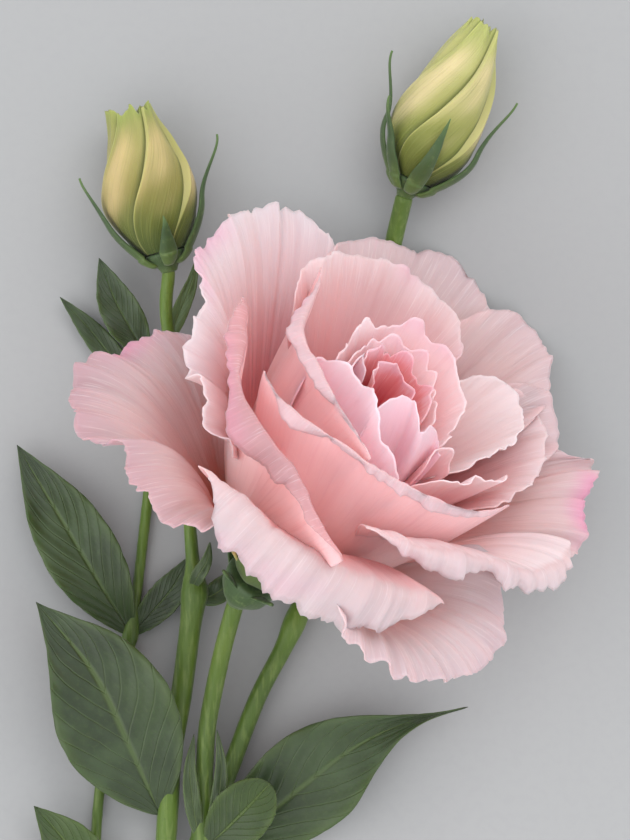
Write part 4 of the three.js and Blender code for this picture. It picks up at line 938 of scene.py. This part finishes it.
def add_buds(sepal_green):
    for order, (name, shape) in enumerate(BUDS.items()):
        bud, ripple = Bud(shape), Ripple(BUD_SEED+order)
        skin = bud_paint(BUD_COLOURS[name])
        add_mesh(name+"_furled", *furled_parts(bud, ripple), skin, "buds", name+"_petals")
        cup = turned(BUD_CUP_PROFILE, 40, *bud.frame, wobble=0.05, seed=CUP_SEED+order)
        parts = merged([cup]+[bud_sepal(bud, *sepal, ripple) for sepal in shape["sepals"]])
        add_mesh(name+"_sepals", *parts, sepal_green, "sepals", name+"_calyx")


# Leaves and bracts: the half width, where along it the blade is widest, how it tapers from there to
# its tip, how far its sides lift, the waves of its edges, and its midline from root to tip.
LEAVES = {
    "leaf_left_upper": dict(half=6.3, widest=0.45, taper=1.1, lift=1.2, wave=0.5, route=[
        [131, 634, 1.4], [101, 585, 4], [62, 520, 5], [17, 445, 3.5],
    ]),
    "leaf_left_lower": dict(half=10.4, widest=0.42, taper=1.2, lift=1.8, wave=0.7, route=[
        [160, 814, 4], [131, 750, 9], [93, 672, 12], [36, 602, 10],
    ]),
    "leaf_left_bottom": dict(half=5, widest=0.5, taper=1.1, lift=1, wave=0.4, route=[
        [103, 930, 1.5], [92, 890, 4], [68, 845, 6], [34, 806, 5],
    ]),
    "leaf_right_lower": dict(half=8.6, widest=0.42, taper=3, lift=1.5, wave=0.8, route=[
        [205, 850, 3.4], [255, 824, 4], [303, 786, 5], [350, 750, 6], [400, 725, 5.5], [468, 707, 4.5],
    ]),
    "leaf_right_small": dict(half=4.9, widest=0.6, taper=0.5, lift=1.2, wave=0.3, route=[
        [207, 846, 4.6], [225, 830, 8], [247, 808, 10], [270, 783, 10],
    ]),
    "leaf_far_upper": dict(half=3.2, widest=0.45, taper=1.1, lift=0.8, wave=0.3, route=[
        [146, 357, 1.8], [134, 335, 4], [115, 300, 5], [99, 258, 4.6],
    ]),
    "leaf_far_lower": dict(half=2, widest=0.45, taper=1.1, lift=0.5, wave=0.2, route=[
        [148, 392, 1.4], [120, 366, 1.6], [90, 330, 1.6], [60, 297, 2.2],
    ]),
    "leaf_behind_node": dict(half=2.6, widest=0.5, taper=1.1, lift=0.6, wave=0.2, route=[
        [132, 634, 1.4], [152, 612, 2], [172, 588, 2.4], [190, 556, 2.4],
    ]),
    "bract_fork_left": dict(half=1.1, widest=0.4, taper=1.1, lift=0.2, wave=0, route=[
        [200, 842, 4.4], [193, 805, 6.5], [190, 770, 7.4], [194, 734, 7.6],
    ]),
    "bract_fork_right": dict(half=1, widest=0.4, taper=1.1, lift=0.2, wave=0, route=[
        [208, 836, 4], [218, 800, 6.6], [221, 765, 8.6], [217, 730, 9.6],
    ]),
    "bract_bud_stalk": dict(half=1.1, widest=0.4, taper=1.1, lift=0.2, wave=0, route=[
        [167, 345, 6.2], [181, 310, 7.2], [192, 282, 7.2], [197, 256, 7],
    ]),
    "bract_node_dark": dict(half=1.8, widest=0.45, taper=1.1, lift=0.3, wave=0, route=[
        [197, 598, 5.4], [211, 596, 4.6], [226, 585, 4.4], [240, 566, 4.6],
    ]),
    "bract_node_light": dict(half=0.9, widest=0.4, taper=1.1, lift=0.2, wave=0, route=[
        [192, 588, 6.2], [199, 574, 8.6], [207, 560, 9], [210, 542, 9],
    ]),
}
LEAF_WAVES = 3
LEAF_TIP = 0.4
LEAF_ROW = 0.7
VEIN_COUNT = 9.0
VEIN_SLANT = 3.2
NARROW = 2.4
LEAF_SEED = 90
FRESH_LEAVES = ("leaf_right_small", "leaf_left_bottom")
# Shades of a leaf's skin: deep, body, edge and haze.
LEAF_SHADES = {
    "leaf_green": [(26, 43, 14), (40, 59, 20), (68, 87, 36), (58, 77, 44)],
    "leaf_fresh": [(30, 50, 6), (44, 66, 8), (68, 88, 22), (54, 74, 18)],
    "bract_green": [(38, 56, 22), (54, 74, 30), (84, 102, 48), (70, 88, 50)],
}


def leaf_paint(name, deep, body, edge, haze):
    """A leaf with a pale midrib, veins that leave it at a slant, and a grey bloom on its skin."""
    paint = Paint(name, 0.46, 0.45)
    away = paint.math("ABSOLUTE", paint.across)
    broad = paint.clouds(60.0, 3.0)
    fine = paint.clouds(1100.0, 3.0)
    slant = paint.math(
        "SUBTRACT", paint.times(paint.along, VEIN_COUNT), paint.times(away, VEIN_SLANT)
    )
    slant = paint.math("FRACT", paint.plus(slant, paint.centred(broad, 0.7)))
    vein = paint.fit(paint.math("ABSOLUTE", paint.math("SUBTRACT", slant, 0.5)), 0.42, 0.5)
    rib = paint.fit(away, 0.09, 0.02)
    base = paint.blend(paint.fit(broad, 0.35, 0.68), deep, body)
    base = paint.blend(paint.fit(away, 0.72, 1.0, 0.0, 0.5), base, edge)
    base = paint.blend(paint.times(vein, 0.3), base, edge)
    base = paint.blend(paint.times(rib, 0.7), base, edge)
    base = paint.blend(paint.fit(paint.clouds(95.0, 4.0), 0.45, 0.75, 0.0, 0.6), base, haze)
    base = paint.blend(paint.fit(fine, 0.5, 0.8, 0.0, 0.22), base, edge)
    furrow = paint.plus(paint.times(vein, 0.6), rib)
    paint.relief(paint.math("SUBTRACT", paint.times(fine, 0.25), furrow), 0.25, 0.7)
    return paint.finish(base, 0.06, (0.4, 1.0, 0.2), 1.5, 0.14)


def leaf_parts(shape, seed):
    """One leaf: waved and faintly ragged at its edges, quilted between its veins, with a sunk rib."""
    midline = Curve([place(spot) for spot in shape["route"]])
    broad = shape["half"] > NARROW
    u, v = lattice(max(40, round(midline.length/LEAF_ROW)), 24 if broad else 12)
    centre, ahead = midline.at(u[:, 0]), midline.ahead(u[:, 0])
    side = unit(np.cross(UP, ahead))[:, None, :]
    widest = shape["widest"]
    opening = np.sin(np.pi/2*np.minimum(u/widest, 1))**0.8
    closing = np.cos(np.pi/2*np.clip((u-widest)/(1-widest), 0, 1))**shape["taper"]
    ripple = Ripple(seed)
    tip = LEAF_TIP*(1-u)**0.5+0.04
    half = tip+shape["half"]*np.where(u < widest, opening, closing)
    half = half*(1+0.02*ripple.line(u*18, 1))
    edge = np.abs(v)**3*shape["wave"]*np.sin(2*np.pi*LEAF_WAVES*u+v)
    edge = edge+np.abs(v)**4*shape["wave"]*0.5*ripple.line(u*11+3*np.sign(v), 2)
    belly = np.sin(np.pi*u)
    rise = shape["lift"]*v*v*belly+edge*belly
    rib = -0.3*np.exp(-(v/0.07)**2)*(1-u)*broad
    away = u*VEIN_COUNT-np.abs(v)*VEIN_SLANT
    quilt = 0.16*np.cos(2*np.pi*away)*smooth(0, 0.3, np.abs(v))*belly*min(1, shape["half"]/6)
    lift = rise+rib+quilt+0.25*ripple.grid(u*6, v*2)*belly
    grid = centre[:, None, :]+side*(half*v)[..., None]+UP*lift[..., None]
    return blade_parts(grid, (0.5-0.25*v*v)*(1-0.3*u), v+0*u, u+0*v)


def add_leaves():
    skins = {name: leaf_paint(name, *shades) for name, shades in LEAF_SHADES.items()}
    for order, (name, shape) in enumerate(LEAVES.items()):
        kind = "leaf_fresh" if name in FRESH_LEAVES else name.split("_")[0]+"_green"
        slot = "leaves" if name.startswith("leaf") else "bracts"
        add_mesh(name+"_blade", *leaf_parts(shape, LEAF_SEED+order), skins[kind], slot, name)


# Stalks as a radius and a route of places, which may end with the name of what the stalk carries.
FORK_LOW = [160, 905, 2.7]
FORK_UPPER = [203, 838, 3.7]
NODE_BUD = [195, 590, 5]
STALKS = [
    (MAIN_STEM_RADIUS, [[146, 1062, 2], [150, 1000, 2.1], FORK_LOW]),
    (MAIN_STEM_RADIUS-0.15, [FORK_LOW, [166, 840, 3.4], [172, 752, 4], [181, 697, 4.4], NODE_BUD]),
    (BUD_STALK_RADIUS, [NODE_BUD, [186, 480, 5], [173, 360, 6], [166, 310, 7], "left_bud"]),
    (BLOOM_STALK_RADIUS, [FORK_LOW, [184, 872, 3.3], FORK_UPPER]),
    (BLOOM_STALK_RADIUS, [
        FORK_UPPER, [204, 783, 4.6], [207, 730, 6], [214, 690, 6.6], [224, 645, 7.2], "bloom",
    ]),
    (BLOOM_STALK_RADIUS, [
        FORK_UPPER, [225, 783, 3.6], [258, 697, 3.6], [287, 640, 3.2], [318, 560, 2.4],
        [352, 440, 1.9], [380, 310, 2], [394, 240, 3.4], "right_bud",
    ]),
    (SIDE_STEM_RADIUS, [
        [148, 1030, 2], [112, 975, 1.4], [97, 900, 1.2], [97, 820, 1.2], [112, 710, 1.2],
        [131, 632, 1.2], [143, 540, 1.2], [152, 440, 1.3], [146, 355, 1.6],
    ]),
]
# Nodes where the stalks are thicker, each as its place and its radius.
SWELLINGS = [
    (FORK_LOW, 2.6), (FORK_UPPER, 2.3), (NODE_BUD, 2.5), ([294, 622, 3.2], 2.1),
    ([131, 632, 1.4], 1.6), ([148, 1030, 2.2], 2.4), ([146, 355, 1.6], 1.3),
]
SWELLING_REACH = 3.2
STALK_SIDES = 20
STALK_STEP = 0.9
STALK_OVERLAP = 0.4
VOXEL = 0.36


def stalk_ends():
    """Where the stalks run into the calyxes that they carry."""
    ends = {"bloom": BLOOM_BASE-BLOOM_AXIS*(CALYX_DEPTH-STALK_OVERLAP)}
    for name, shape in BUDS.items():
        bud = Bud(shape)
        ends[name] = bud.base-bud.axis*(BUD_CUP_DEPTH-STALK_OVERLAP)
    return ends


def stalk_parts(radius, route, ends):
    curve = Curve([ends[stop] if isinstance(stop, str) else place(stop) for stop in route])
    shares = np.linspace(0, 1, max(12, round(curve.length/STALK_STEP)))
    path = curve.at(shares)
    radii = np.full(len(path), float(radius))
    for spot, widest in SWELLINGS:
        gap = np.linalg.norm(path-place(spot), axis=1)
        radii += (widest-radii.min())*0.9*np.exp(-(gap/SWELLING_REACH)**2)
    ripple = Ripple(len(path))
    radii *= 1+0.03*ripple.line(shares*curve.length/6)
    return tube_parts(path, radii, STALK_SIDES)


def stem_paint():
    """A green stem with long pale fibres and fine dark spots."""
    paint = Paint("stem_green", 0.45, 0.4)
    fibre = paint.noise(paint.stretched(1.0, 0.12, 1.0), 1500.0, 3.0)
    fine = paint.clouds(1400.0, 3.0)
    stops = [(0.3, (58, 82, 14)), (0.5, (76, 102, 22)), (0.7, (92, 114, 36))]
    base = paint.ramp(paint.clouds(45.0, 2.0), stops)
    base = paint.blend(paint.fit(fibre, 0.45, 0.7, 0.0, 0.5), base, (106, 124, 60))
    base = paint.blend(paint.fit(fine, 0.55, 0.8, 0.0, 0.3), base, (54, 72, 26))
    paint.relief(paint.plus(fibre, paint.times(fine, 0.4)), 0.2, 0.6)
    return paint.finish(base, 0.08, GREEN_REACH, 1.5, 0.15)


def fuse(piece):
    """Fuses the piece's tubes into one smooth skin."""
    remesh = piece.modifiers.new("fuse", "REMESH")
    remesh.mode = "VOXEL"
    remesh.voxel_size = VOXEL*MM
    remesh.use_smooth_shade = True
    relax = piece.modifiers.new("relax", "SMOOTH")
    relax.factor = 0.5
    relax.iterations = 6
    graph = bpy.context.evaluated_depsgraph_get()
    mesh = bpy.data.meshes.new_from_object(piece.evaluated_get(graph))
    piece.modifiers.clear()
    piece.data = mesh
    shade_smooth(mesh)


def add_stem():
    ends = stalk_ends()
    tubes = merged([stalk_parts(radius, route, ends) for radius, route in STALKS])
    fuse(add_mesh("stem_skin", *tubes, stem_paint(), "stem", "stem"))


# Surface, light and camera.
SURFACE_REACH = 3.0
SURFACE_DEPTH = 0.02
LAMP_TONE = (1.0, 0.985, 0.965)
ROOM_TONE = (0.98, 0.985, 1.0, 1.0)
ROOM_STRENGTH = 1.35
SENSOR = 36


def add_surface():
    paint = Paint("surface_grey", 0.9, 0.1)
    soft = paint.fit(paint.clouds(3.0, 2.0), 0.3, 0.7)
    base = paint.blend(soft, (151, 152, 153), (156, 157, 158))
    base = paint.blend(paint.fit(paint.clouds(600.0, 2.0), 0.4, 0.7, 0.0, 0.15), base, (146, 147, 149))
    mesh = bpy.data.meshes.new("surface")
    signs = ((-1, -1), (1, -1), (1, 1), (-1, 1))
    corners = [(x*SURFACE_REACH, y*SURFACE_REACH, -SURFACE_DEPTH*MM) for x, y in signs]
    mesh.from_pydata(corners, [], [(0, 1, 2, 3)])
    mesh.materials.append(paint.finish(base))
    surface = bpy.data.objects.new("surface", mesh)
    bpy.context.scene.collection.objects.link(surface)


def add_lamp(name, spot, size, power):
    lamp = bpy.data.lights.new(name, "AREA")
    lamp.energy = power
    lamp.size = size
    lamp.color = LAMP_TONE
    holder = bpy.data.objects.new(name, lamp)
    bpy.context.scene.collection.objects.link(holder)
    holder.location = spot
    holder.rotation_euler = (-Vector(spot)).to_track_quat("-Z", "Y").to_euler()


def add_room():
    world = bpy.data.worlds.new("soft_room")
    world.use_nodes = True
    background = world.node_tree.nodes["Background"]
    background.inputs["Color"].default_value = ROOM_TONE
    background.inputs["Strength"].default_value = ROOM_STRENGTH
    bpy.context.scene.world = world
    bpy.context.scene.view_settings.view_transform = "Standard"


def add_camera():
    lens = bpy.data.cameras.new("camera")
    lens.sensor_width = SENSOR
    lens.sensor_fit = "AUTO"
    lens.lens = SENSOR*EYE_HEIGHT/(PICTURE_SIZE[1]*STEP_AT_SURFACE)
    lens.clip_end = 20
    camera = bpy.data.objects.new("camera", lens)
    bpy.context.scene.collection.objects.link(camera)
    camera.location = (ORIGIN_SHIFT[0]*MM, ORIGIN_SHIFT[1]*MM, EYE_HEIGHT*MM)
    bpy.context.scene.camera = camera


add_bloom()
sepal_green = sepal_paint()
add_bloom_calyx(sepal_green)
add_buds(sepal_green)
add_leaves()
add_stem()
add_surface()
add_lamp("window", (0.5, 0.75, 0.9), size=0.9, power=6.0)
add_lamp("fill", (-0.8, -0.4, 0.7), size=1.2, power=5.5)
add_room()
add_camera()
